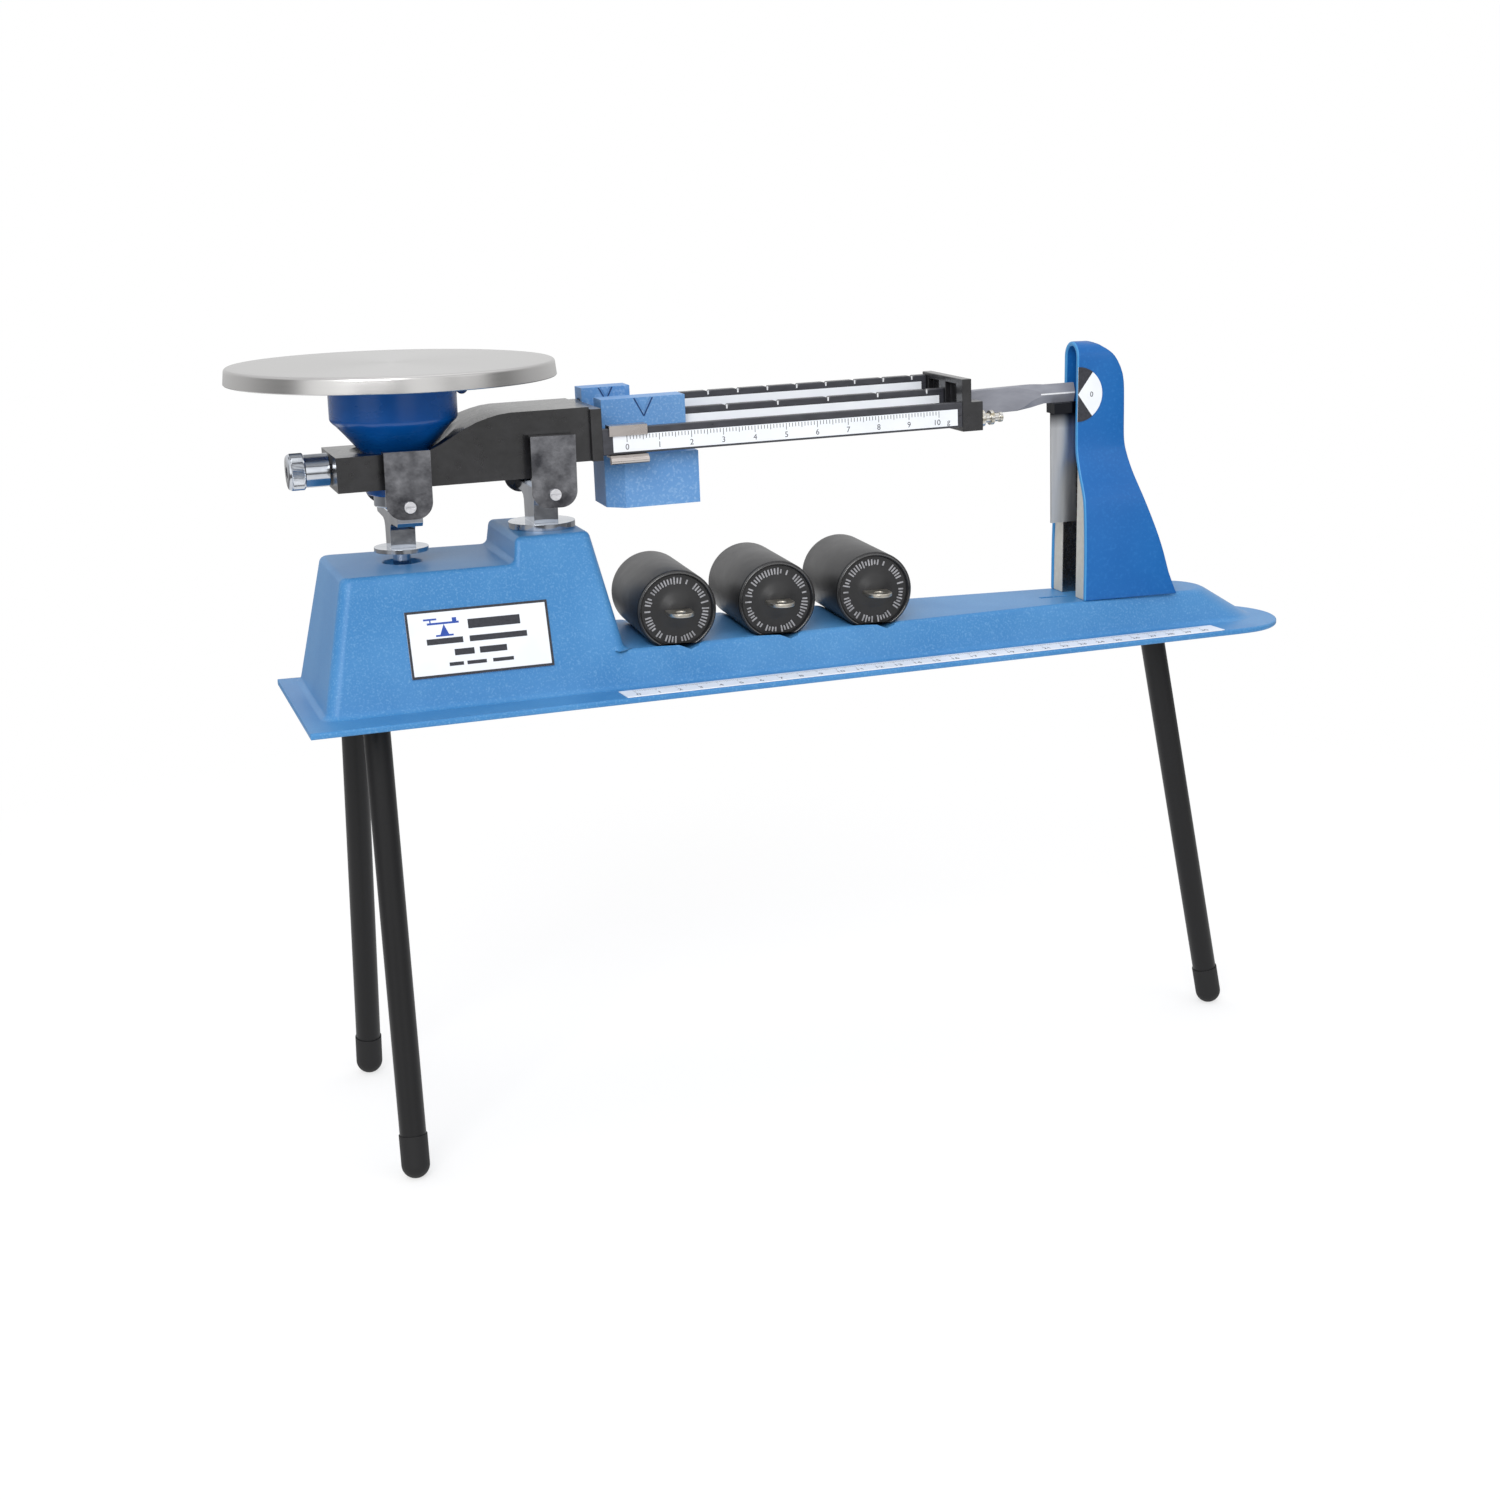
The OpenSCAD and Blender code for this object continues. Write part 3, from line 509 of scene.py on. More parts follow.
cover_steel = Finish("cover_steel", {"Metallic": 1.0})
smoke = cover_steel.ramp(cover_steel.noise(85, 5), [(0.35, 0.0), (0.68, 1.0)])
cover_steel.wear({"Base Color": cover_steel.mix(smoke, srgb(78, 79, 84), srgb(158, 159, 164))})
cover_steel.wear({"Roughness": 0.1 + smoke * 0.14})
cover_steel.bumps(cover_steel.noise(170, 4), 0.06 * mm)

screw_steel = Finish("screw_steel", {})
turned = screw_steel.noise(600, 3)
screw_steel.wear({"Base Color": screw_steel.mix(turned, srgb(190, 190, 194), srgb(232, 232, 235))})
screw_steel.wear({"Roughness": 0.34 + turned * 0.2})
screw_steel.wear({"Metallic": 0.55 + turned * 0.2})

softened("fulcrum_yoke", "base", chrome, 0.7)
softened("hanger_yoke", "hanger", chrome, 0.7)
for where, body in (("fulcrum", "base"), ("hanger", "hanger")):
    for side in ("front", "rear"):
        softened(f"{where}_cover_{side}", body, cover_steel, 0.55)
        softened(f"{where}_screw_{side}", body, screw_steel, 0.1, segments=2)

# ---- Pointer tower -------------------------------------------------------------------
# A moulded arch with a waisted outline stands on the deck. The beam's pointer and the
# damping vane swing in the channel through it.

tower_blue = enamel("tower_blue", srgb(22, 98, 168), srgb(44, 118, 186), srgb(18, 92, 162), 0.36, 700, 0.01)
tower_parts = tower_blue.node("ShaderNodeSeparateXYZ", sockets={"Vector": tower_blue.place}, out="X")
# Painted highlight: the tower's near end face and rim, the first 0.7 mm in x, are mixed towards a lighter
# blue for the light caught along the arch's front edge.
painted_rim_highlight = tower_parts < at(389.7, 0, 0).x
plain_blue = Flow(tower_blue.tree, tower_blue.skin.inputs["Base Color"].links[0].from_socket)
tower_blue.wear({"Base Color": tower_blue.mix(painted_rim_highlight * 0.8, plain_blue, srgb(74, 150, 204))})


def smooth_through(points, steps=6):
    """Points along a smooth curve through the given ones, with the same ends."""
    padded = [points[0], *points, points[-1]]
    curve = []
    for k in range(1, len(padded) - 2):
        a, b, c, d = (Vector(p) for p in padded[k - 1:k + 3])
        for s in range(steps):
            t = s / steps
            curve.append(0.5 * (2 * b + (c - a) * t + (2 * a - 5 * b + 4 * c - d) * t * t
                                + (3 * b - a - 3 * c + d) * t ** 3))
    return curve + [Vector(points[-1])]


tower_x = 389.0
tower_wall = 2.2
tower_half = 7.5
arch_z = 138.0
half_widths = smooth_through([(19.4, 19.7), (19.2, 45), (17.8, 66), (15.4, 74), (11.6, 82), (8.6, 90),
                              (7.5, 98), (7.5, 118), (7.5, 138)])
far_edge = smooth_through([(440.3, 19.7), (435.8, 30), (432.8, 40), (429.4, 50), (425.4, 60), (421.4, 70),
                           (418.5, 80), (416.4, 90), (415.2, 98), (414.9, 112), (414.4, 126), (412.4, 133),
                           (408.6, 139), (403, 143.2), (398, 145.3), (394, 145.9)], 4)


def far_x(z):
    """Where the tower's far edge is at a height."""
    for low, high in zip(far_edge, far_edge[1:]):
        if low.y <= z <= high.y:
            return low.x + (high.x - low.x) * (z - low.y) / max(high.y - low.y, 1e-6)
    return far_edge[-1].x


def arch_line(inset):
    """The channel's section from the near foot over the arch to the far foot, as (y, z)."""
    near = [(-(p.x - inset), p.y) for p in half_widths]
    over = [(-(tower_half - inset) * math.cos(math.pi * k / 16), arch_z + (tower_half - inset)
             * math.sin(math.pi * k / 16)) for k in range(1, 16)]
    return near + over + [(-y, z) for y, z in reversed(near)]


tower = bmesh.new()
rings = []
for inset in (0, tower_wall):
    section = arch_line(inset)
    rings.append([(tower.verts.new(at(tower_x, y, z)), tower.verts.new(at(far_x(z), y, z)))
                  for y, z in section])
outside, inside = rings
for k in range(len(outside) - 1):
    tower.faces.new((outside[k][0], outside[k][1], outside[k + 1][1], outside[k + 1][0]))
    tower.faces.new((inside[k][0], inside[k + 1][0], inside[k + 1][1], inside[k][1]))
    for end in (0, 1):
        tower.faces.new((outside[k][end], outside[k + 1][end], inside[k + 1][end], inside[k][end]))
for k in (0, -1):
    tower.faces.new((outside[k][0], outside[k][1], inside[k][1], inside[k][0]))
tower_obj = from_bmesh(tower, "tower_work", 50)
rim = tower_obj.modifiers.new("rim", "BEVEL")
rim.width = 0.75 * mm
rim.segments = 3
rim.angle_limit = math.radians(50)
place(shaded(baked(tower_obj, "tower_moulding"), 50), "base", tower_blue, "pointer_tower")

# ---- Zero dial -----------------------------------------------------------------------
# A half-round label on the tower's near face: white, with a black sector above and
# below, and a nought in the middle of the white part.

dial_lo, dial_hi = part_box("zero_dial")
softened("zero_dial", "base", print_white, 0.08)
dial_z = (dial_lo.z + dial_hi.z) / 2
dial_face = Matrix.Translation((dial_lo.x, dial_lo.y, dial_z)) @ Matrix.Rotation(math.radians(90), 4, "X")
dial_r = (dial_hi.z - dial_lo.z) / 2 / mm


def sector(start, stop, radius, steps=14):
    """A slice of a disc, from one angle to another in degrees."""
    arc = [math.radians(start + (stop - start) * k / steps) for k in range(steps + 1)]
    return [(0, 0)] + [(radius * math.cos(a), radius * math.sin(a)) for a in arc]


slices = [sector(54, 90, dial_r), sector(-90, -54, dial_r)]
flat_shapes("dial_sectors", slices, dial_face, "base", print_black)
figures("dial_nought", [("0", dial_r * 0.55 * mm, -1.3 * mm)], 3.6 * mm,
        dial_face @ Matrix.Translation((0, 0, 0.03 * mm)), "base")

# ---- Damper --------------------------------------------------------------------------
# Two magnet blocks in the tower slow the vane that hangs from the pointer. The blocks are
# zinc castings and their pole faces are left bright; the vane is bare under a dark clamp.

vane_metal = Finish("vane_aluminium", {"Metallic": 1.0})
brushed = vane_metal.noise(260, 3, (1, 1, 0.06))
vane_metal.wear({"Base Color": vane_metal.mix(brushed, srgb(176, 179, 184), srgb(236, 238, 241))})
vane_metal.wear({"Roughness": 0.2 + brushed * 0.25})
vane_metal.bumps(brushed, 0.02 * mm)

zinc = Finish("zinc_block", {})
sand = zinc.noise(420, 4)
middle_plane = zinc.node("ShaderNodeSeparateXYZ", sockets={"Vector": zinc.place}, out="X").socket.node
sideways = zinc.node("ShaderNodeMath", {"operation": "ABSOLUTE"},
                     {0: Flow(zinc.tree, middle_plane.outputs["Y"])})
pole_face = 7.75
on_pole = sideways < pole_face * mm
cast_face = zinc.mix(sand, srgb(186, 182, 172), srgb(216, 213, 204))
zinc.wear({"Base Color": zinc.mix(on_pole, cast_face, srgb(150, 148, 146))})
zinc.wear({"Roughness": 0.42 + sand * 0.25 - on_pole * 0.28})
zinc.wear({"Metallic": 0.25 + on_pole * 0.75})
zinc.bumps(sand, 0.05 * mm)

vane_height = vane_metal.node("ShaderNodeSeparateXYZ", sockets={"Vector": vane_metal.place}, out="Z")
clamp = vane_metal.ramp((vane_height - at(0, 0, 100).z) * 70, [(0.25, 0.0), (0.75, 1.0)])
bare = Flow(vane_metal.tree, vane_metal.skin.inputs["Base Color"].links[0].from_socket)
vane_metal.wear({"Base Color": vane_metal.mix(clamp, bare, srgb(44, 45, 50))})
softened("damper_block_front", "base", zinc, 0.5)
softened("damper_block_rear", "base", zinc, 0.5)

# ---- Check link ----------------------------------------------------------------------
# A steel bar under the deck keeps the pan's stem upright. It turns on a riveted pin in a
# pressed bracket.

dull_steel = Finish("dull_steel", {"Metallic": 0.9})
mill = dull_steel.noise(300, 4, (0.2, 1, 1))
dull_steel.wear({"Base Color": dull_steel.mix(mill, srgb(140, 140, 143), srgb(190, 190, 192))})
dull_steel.wear({"Roughness": 0.32 + mill * 0.25})
dull_steel.bumps(mill, 0.02 * mm)

softened("link_bracket", "base", dull_steel, 0.4)
softened("link_fixed_pin", "base", screw_steel, 0.2)
softened("check_link", "link", dull_steel, 0.4)
softened("link_moving_pin", "link", screw_steel, 0.2)

# ---- Beam ----------------------------------------------------------------------------
# The beam is a black casting with three rails screwed into its end and tied by a plate.
# The enamel is glossy, with a slight ripple.

black_gloss = Finish("black_casting", {"Specular IOR Level": 0.6, "Coat Roughness": 0.12})
ripple = black_gloss.noise(240, 4)
grey_patch = black_gloss.ramp(black_gloss.noise(70, 3), [(0.4, 0.0), (0.75, 1.0)])
black_gloss.wear({"Base Color": black_gloss.mix(grey_patch, srgb(16, 16, 18), srgb(36, 36, 39))})
black_gloss.wear({"Roughness": 0.2 + ripple * 0.2})
black_gloss.wear({"Coat Weight": 0.2 + ripple * 0.3})
black_gloss.bumps(ripple, 0.09 * mm)

rail_paint = Finish("rail_enamel", {"Specular IOR Level": 0.5})
rail_grain = rail_paint.noise(500, 3, (0.3, 1, 1))
rail_paint.wear({"Base Color": rail_paint.mix(rail_grain, srgb(40, 41, 46), srgb(70, 71, 78))})
rail_paint.wear({"Roughness": 0.22 + rail_grain * 0.2})
rail_paint.bumps(rail_grain, 0.03 * mm)

softened("beam_casting", "beam", black_gloss, 1.0)
softened("end_plate", "beam", black_gloss, 0.8)
for row in ("front", "middle", "rear"):
    softened("rail_" + row, "beam", rail_paint, 0.4)
    softened("scale_" + row, "beam", print_white, 0.08)
for pin in ("fulcrum_pin_front", "fulcrum_pin_rear", "pan_pin_front", "pan_pin_rear", "zero_stud"):
    softened(pin, "beam", screw_steel, 0.3)

# ---- Beam scales ---------------------------------------------------------------------
# Each rail carries a printed strip. The near one is ruled in tenths of a gram to 10 g; the
# others are numbered at their notches, which are picked out in white.

joints = {j["name"]: j for j in frame["joints"]}
pivot = Vector(joints["beam_tilt"]["pos_m"])
slide_axis = Vector(joints["rider_slide"]["axis"])
tilt = math.atan2(slide_axis.z, slide_axis.x)
beam_frame = Matrix.Translation(pivot) @ Matrix.Rotation(-tilt, 4, "Y") @ Matrix.Translation(-pivot)
upright = Matrix.Rotation(math.radians(90), 4, "X")


def on_beam(x, y, z):
    """The beam's own frame, moved to a point measured in millimetres as for at()."""
    return beam_frame @ Matrix.Translation(at(x, y, z))


gram = 15.25
rail_y = 22.1
rail_half = 2.25
strip_y = rail_half + 0.25
near_zero = 156.3
near_lines = {"Count": 101, "Pitch": gram / 10 * mm, "Width": 0.27 * mm, "Short": 1.8 * mm,
              "Middle": 2.3 * mm, "Long": 3.0 * mm, "Thickness": 0.06 * mm}
lines_at("near_scale_lines", on_beam(near_zero, -rail_y - strip_y, 114.6), "beam", near_lines)
near_marks = [(str(k), k * gram * mm, 0) for k in range(10)]
near_marks += [("10", 9.93 * gram * mm, 0), ("g", 10.32 * gram * mm, 0)]
figures("near_scale_figures", near_marks, 3.7 * mm,
        on_beam(near_zero, -rail_y - strip_y, 108.2) @ upright, "beam")

middle_pitch = 25.2
middle_zero = 186.0
middle_marks = [(str(100 * k), k * middle_pitch * mm, 0) for k in range(6)]
figures("middle_scale_figures", middle_marks, 3.4 * mm,
        on_beam(middle_zero, -strip_y, 112.6) @ upright, "beam")
rear_pitch = 14.9
rear_zero = 164.4
rear_marks = [(str(10 * k), k * rear_pitch * mm, 0) for k in range(10)] + [("100 g", 148.5 * mm, 0)]
figures("rear_scale_figures", rear_marks, 3.4 * mm,
        on_beam(rear_zero, rail_y - strip_y, 117.6) @ upright, "beam")

notch_white = Finish("notch_white", {"Specular IOR Level": 0.4})
chalk = notch_white.noise(800, 2)
notch_white.wear({"Base Color": notch_white.mix(chalk, srgb(206, 208, 212), srgb(240, 241, 243))})
notch_white.wear({"Roughness": 0.5 + chalk * 0.2})
for name, x, y, z, count, pitch in (("middle", middle_zero, 0, 122.72, 6, middle_pitch),
                                    ("rear", rear_zero, rail_y, 127.42, 11, rear_pitch)):
    notch = {"Count": count, "Pitch": pitch * mm, "Width": 0.7 * mm, "Short": 1.9 * mm,
             "Middle": 1.9 * mm, "Long": 1.9 * mm, "Thickness": 0.1 * mm}
    lines_at(f"{name}_notch_marks", on_beam(x, y - rail_half, z - 0.1), "beam", notch, notch_white)

# ---- Pointer -------------------------------------------------------------------------
# A flat black bar runs on from the end plate. Its tip is faceted to a ridge, and a white
# line along the ridge is read against the dial. The damper's vane hangs under the tip.

pointer_paint = Finish("pointer_enamel", {"Specular IOR Level": 0.55})
pointer_grain = pointer_paint.noise(320, 3, (0.3, 1, 1))
pointer_paint.wear({"Base Color": pointer_paint.mix(pointer_grain, srgb(112, 114, 123), srgb(150, 152, 161))})
pointer_paint.wear({"Roughness": 0.3 + pointer_grain * 0.2})
pointer_paint.bumps(pointer_grain, 0.04 * mm)

tip_line = 116.0
sections = [(325.7, 108.3, 120.4, 5.6), (340, 108.5, 120.6, 5.6), (360, 108.9, 121.0, 5.5),
            (364, 109.3, 121.1, 4.3), (368, 109.9, 121.1, 2.6), (372, 110.8, 120.9, 1.2),
            (375, 111.4, 120.6, 0.5), (391, 111.4, 120.6, 0.35)]
pointer = bmesh.new()
loops = []
for x, low, high, flat in sections:
    middle = min(max(tip_line, low), high) if flat < 4 else (low + high) / 2
    back = 0.2 if flat < 5 else -0.9
    outline = [(1.6, low), (back, low), (-1.6, middle - flat),
               (-1.6, middle + flat), (back, high), (1.6, high)]
    loops.append([pointer.verts.new((beam_frame @ at(x, y, z).to_4d()).xyz) for y, z in outline])
for a, b in zip(loops, loops[1:]):
    for k in range(6):
        n = (k + 1) % 6
        pointer.faces.new((a[k], b[k], b[n], a[n]))
pointer.faces.new(loops[0])
pointer.faces.new(loops[-1][::-1])
place(from_bmesh(pointer, "pointer_bar", 20), "beam", pointer_paint, "pointer")
flat_shapes("pointer_line", [bar_shape(0, -0.35, 18.2, 0.35)],
            on_beam(372.6, -1.6, tip_line) @ upright, "beam", notch_white, 0.08)

vane = bmesh.new()
for low, high in (((378.4, -0.6, 52), (392, 0.6, 111.4)), ((378.4, -4.5, 106.4), (388, 4.5, 111.4))):
    middle = [(a + b) / 2 for a, b in zip(low, high)]
    across = [(b - a) * mm for a, b in zip(low, high)]
    bmesh.ops.create_cube(vane, matrix=on_beam(*middle) @ Matrix.Diagonal((*across, 1)))
place(from_bmesh(vane, "vane_plate"), "beam", vane_metal, "damper_vane")

# ---- Hanging stud --------------------------------------------------------------------
# A grooved stud screwed into the end plate's lug takes the hanging weights. It is turned
# brass with a worn nickel plate.

stud_metal = Finish("nickel_brass", {"Metallic": 1.0})
worn = stud_metal.ramp(stud_metal.noise(420, 3), [(0.4, 0.0), (0.65, 1.0)])
stud_metal.wear({"Base Color": stud_metal.mix(worn, srgb(206, 205, 202), srgb(176, 168, 146))})
stud_metal.wear({"Roughness": 0.2 + worn * 0.2})
softened("weight_stud", "beam", stud_metal, 0.3)

# ---- Zero knob -----------------------------------------------------------------------
# A chromed nut with a cross-knurled head runs on the stud at the beam's left end and sets
# the balance to zero.

knob_lo, knob_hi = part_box("zero_knob")
knob_z = (knob_lo.z + knob_hi.z) / 2
knob_middle = on_beam(7, 0, 106.6)
head_r = 8.1
sleeve_r = 7.4


def lathe(profile, matrix, name, steps=96, ripple=None, angle=32):
    """A body turned about the matrix's own x axis: the profile is (distance along, radius)."""
    bm = bmesh.new()
    turns = []
    for k in range(steps):
        a = math.tau * k / steps
        row = []
        for x, r in profile:
            out = r + (ripple(x, a) if ripple else 0)
            point = Vector((x * mm, out * mm * math.cos(a), out * mm * math.sin(a)))
            row.append(bm.verts.new(matrix @ point))
        turns.append(row)
    for k in range(steps):
        here, after = turns[k], turns[(k + 1) % steps]
        for n in range(len(profile) - 1):
            bm.faces.new((here[n], here[n + 1], after[n + 1], after[n]))
    bmesh.ops.remove_doubles(bm, verts=bm.verts, dist=1e-7)
    return from_bmesh(bm, name, angle)


knurl_from, knurl_to = 0.9, 6.7


def knurl(x, a):
    """The height of the fine crossed cuts on the knob's head."""
    if not knurl_from < x < knurl_to:
        return 0
    return 0.13 * math.cos(78 * a)


head_steps = [knurl_from + (knurl_to - knurl_from) * k / 18 for k in range(19)]
knob_profile = [(-0.5, 2.6), (-0.5, 6.9), (-0.35, 7.3), (0.2, 7.8), (0.8, head_r - 0.1)]
knob_profile += [(x, head_r) for x in head_steps]
knob_profile += [(7.0, 7.7), (7.2, sleeve_r), (17.6, sleeve_r), (17.9, 7.1), (17.9, 2.6), (-0.5, 2.6)]
place(lathe(knob_profile, knob_middle, "knob_turned", 312, knurl), "knob", chrome, "zero_knob")

# ---- Pan support ---------------------------------------------------------------------
# The hanger's stem ends in a nut and carries a moulded blue cup, which the pan drops
# over. A small wire ring is clipped in its rim.

cup_plastic = Finish("cup_plastic", {"Specular IOR Level": 0.4, "Coat Roughness": 0.12})
flow_marks = cup_plastic.noise(35, 3, (1, 1, 2.5))
cup_plastic.wear({"Base Color": cup_plastic.mix(flow_marks, srgb(2, 72, 148), srgb(8, 92, 172))})
cup_plastic.wear({"Roughness": 0.2 + flow_marks * 0.14})
cup_plastic.wear({"Coat Weight": 0.12 + flow_marks * 0.1})
cup_plastic.bumps(cup_plastic.noise(600, 2), 0.015 * mm)

cup_lo, cup_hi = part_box("pan_cup")
cup_x = ((cup_lo.x + cup_hi.x) / 2 - casting_lo.x) / mm
cup_r = (cup_hi.x - cup_lo.x) / 2 / mm
cup_top = (cup_hi.z - casting_lo.z) / mm
stand_up = Matrix.Translation(at(cup_x, 0, 0)) @ Matrix.Rotation(math.radians(-90), 4, "Y")
cup_profile = [(92.5, 6.3), (92.5, 13.4), (92.9, 13.9), (110.4, 14), (113.3, 17), (119, 21.8), (123.4, 25.8),
               (124.6, 27.2), (125.5, cup_r - 0.45), (126.3, cup_r - 0.05), (127.2, cup_r),
               (145.8, cup_r), (146.1, cup_r - 0.5), (147.0, cup_r - 0.6), (147.4, cup_r - 0.1),
               (cup_top - 0.5, cup_r - 0.05), (cup_top, cup_r - 0.6), (cup_top, cup_r - 3), (127, cup_r - 3),
               (112.4, 12.5), (112.4, 6.3), (92.5, 6.3)]
place(lathe(cup_profile, stand_up, "cup_moulding", 128), "hanger", cup_plastic, "pan_cup")
softened("hanger_stem", "hanger", chrome, 0.3)
softened("stem_nut", "hanger", chrome, 0.6)
softened("cup_clip", "hanger", cup_plastic, 0.2)

# ---- Pan -----------------------------------------------------------------------------
# The pan is spun from one sheet of stainless steel with its rim turned down. The face is
# brushed in rings and the rim is polished brighter.

pan_lo, pan_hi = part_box("pan")
pan_x = ((pan_lo.x + pan_hi.x) / 2 - casting_lo.x) / mm
pan_r = (pan_hi.x - pan_lo.x) / 2 / mm
pan_top = (pan_hi.z - casting_lo.z) / mm
pan_drop = (pan_hi.z - pan_lo.z) / mm
pan_sheet = 1.2

pan_steel = Finish("pan_stainless", {"Metallic": 1.0, "Anisotropic": 0.45})
centred = pan_steel.node("ShaderNodeMapping", sockets={
    "Vector": pan_steel.place, "Location": (-at(pan_x, 0, 0).x, 0, 0)})
split = pan_steel.node("ShaderNodeSeparateXYZ", sockets={"Vector": centred}, out="X")
across = Flow(pan_steel.tree, split.socket.node.outputs["Y"])
from_middle = (split * split + across * across) ** 0.5
ring_spot = pan_steel.node("ShaderNodeCombineXYZ", sockets={"X": from_middle * 1000})
rings_cut = pan_steel.noise(1.7, 4, where=ring_spot)
clouds = pan_steel.ramp(pan_steel.noise(28, 3), [(0.3, 0.0), (0.75, 1.0)])
face_shade = pan_steel.mix(rings_cut, srgb(178, 177, 176), srgb(200, 199, 198))
pan_steel.wear({"Base Color": pan_steel.mix(clouds * 0.4, face_shade, srgb(190, 189, 187))})
pan_steel.wear({"Roughness": 0.18 + rings_cut * 0.14})
pan_steel.bumps(rings_cut, 0.012 * mm)

over_pan = Matrix.Translation(at(pan_x, 0, 0)) @ Matrix.Rotation(math.radians(-90), 4, "Y")
edge_r = 1.5
corner = [(pan_top - edge_r + edge_r * math.cos(a), pan_r - 0.6 - edge_r + edge_r * math.sin(a))
          for a in [math.radians(15 * k) for k in range(7)]]
inner_r = pan_r - pan_sheet
pan_profile = [(pan_top, 0.0), (pan_top, 30.0), (pan_top, pan_r - 8)] + corner
pan_profile += [(pan_top - pan_drop + 0.4, pan_r), (pan_top - pan_drop + 0.1, pan_r - 0.25),
                (pan_top - pan_drop, pan_r - 0.6), (pan_top - pan_drop + 0.1, inner_r + 0.1),
                (pan_top - pan_drop + 0.4, inner_r), (pan_top - pan_sheet - 0.5, inner_r),
                (pan_top - pan_sheet, inner_r - 0.6), (pan_top - pan_sheet, 0.0)]
place(lathe(pan_profile, over_pan, "pan_spun", 192, angle=45), "pan_plate", pan_steel, "pan")

# ---- Sliding poises ------------------------------------------------------------------
# The near rail has a light rider bent from spring steel. The other two rails carry blue
# powder-coated poises with a V cut on top that points at the notch.

poise_blue = enamel("poise_blue", srgb(102, 150, 202), srgb(172, 202, 230), srgb(90, 140, 196),
                    0.42, 900, 0.1)
rider_steel = Finish("rider_steel", {"Metallic": 1.0})
rolled = rider_steel.noise(300, 3, (0.25, 1, 1))
rider_steel.wear({"Base Color": rider_steel.mix(rolled, srgb(176, 168, 164), srgb(216, 210, 206))})
rider_steel.wear({"Roughness": 0.2 + rolled * 0.18})
rider_steel.bumps(rolled, 0.02 * mm)

softened("rider_10g", "rider", rider_steel, 0.25)
softened("poise_500g", "large_poise", poise_blue, 0.55)
softened("poise_100g", "small_poise", poise_blue, 0.5)
# Painted shade: a thin dark blue sheet on each poise's face stands for the shadow in its V cut.
painted_groove_shade = Finish("painted_groove_shade", {"Specular IOR Level": 0.3})
groove_shade_grain = painted_groove_shade.noise(900, 2)
painted_groove_shade.wear({"Base Color": painted_groove_shade.mix(groove_shade_grain, srgb(24, 52, 98), srgb(40, 74, 124))})
painted_groove_shade.wear({"Roughness": 0.5 + groove_shade_grain * 0.2})


def v_cut(name, left, right, top, bottom, y, body):
    """A thin dark V of painted shade, for the shadow in the V cut that points down at a notch."""
    middle = (left + right) / 2
    strokes = [[(left, top), (left + 0.8, top), (middle + 0.35, bottom), (middle - 0.35, bottom)],
               [(right - 0.8, top), (right, top), (middle + 0.35, bottom), (middle - 0.35, bottom)]]
    flat_shapes(name, strokes, on_beam(0, y, 0) @ upright, body, painted_groove_shade, 0.03)


# The two dark V sheets of painted shade, one on each poise.
v_cut("large_v", 164.9, 174.5, 129.0, 120.6, -6.62, "large_poise")
v_cut("small_v", 154.2, 161.6, 132.6, 126.4, rail_y - 6.02, "small_poise")

# ---- Hanging weights -----------------------------------------------------------------
# Three black cylinders rest in hollows of the deck until they are hung on the stud. Each has
# a recessed end with a glossy lip, a ring of raised marks and a pierced steel tab. The lip
# is held above the bottom of the hollow, so that it doesn't sink into the deck.

weight_black = Finish("weight_enamel", {"Specular IOR Level": 0.5, "Coat Roughness": 0.3})
cast = weight_black.noise(130, 4)
weight_black.wear({"Base Color": weight_black.mix(cast, srgb(12, 12, 14), srgb(28, 28, 30))})
weight_black.wear({"Roughness": 0.36 + cast * 0.2})
weight_black.wear({"Coat Weight": 0.12 + cast * 0.1})
weight_black.bumps(cast, 0.06 * mm)

# Painted highlight: the black raised marks on the weights' ends are coloured light grey, 84 to 186, for the
# glints they catch.
painted_glint_grey = Finish("painted_glint_grey", {"Specular IOR Level": 0.6})
glint_noise = painted_glint_grey.noise(500, 3)
painted_glint_grey.wear({"Base Color": painted_glint_grey.mix(glint_noise, srgb(84, 84, 88), srgb(186, 186, 190))})
painted_glint_grey.wear({"Roughness": 0.28 + glint_noise * 0.2})

gloss_black = Finish("gloss_black", {"Specular IOR Level": 0.8, "Coat Roughness": 0.06, "Coat Weight": 1.0})
sheen = gloss_black.noise(300, 3)
gloss_black.wear({"Base Color": gloss_black.mix(sheen, srgb(10, 10, 11), srgb(26, 26, 28))})
gloss_black.wear({"Roughness": 0.08 + sheen * 0.1})

tab_steel = Finish("tab_steel", {"Metallic": 1.0})
tarnish = tab_steel.noise(260, 4)
tab_steel.wear({"Base Color": tab_steel.mix(tarnish, srgb(168, 162, 150), srgb(214, 210, 200))})
tab_steel.wear({"Roughness": 0.26 + tarnish * 0.2})
tab_steel.bumps(tarnish, 0.03 * mm)

marks, add = geometry_tree("raised_marks", [
    ("Count", "NodeSocketInt", 46), ("Radius", "NodeSocketFloat", 12 * mm),
    ("Length", "NodeSocketFloat", 1.5 * mm), ("Width", "NodeSocketFloat", 0.5 * mm),
    ("Seed", "NodeSocketInt", 3), ("Paint", "NodeSocketMaterial", None)])
ring = add("GeometryNodeMeshCircle", sockets={"Vertices": "Count", "Radius": "Radius"})
outward = add("ShaderNodeVectorRotate", {"rotation_type": "Z_AXIS"},
              {"Vector": add("GeometryNodeInputPosition")})
turn = add("FunctionNodeAlignRotationToVector", {"axis": "X"}, {"Vector": outward})
share = add("FunctionNodeRandomValue", {"data_type": "FLOAT"}, {2: 0.55, 3: 1.0, "Seed": "Seed"}, out=1)
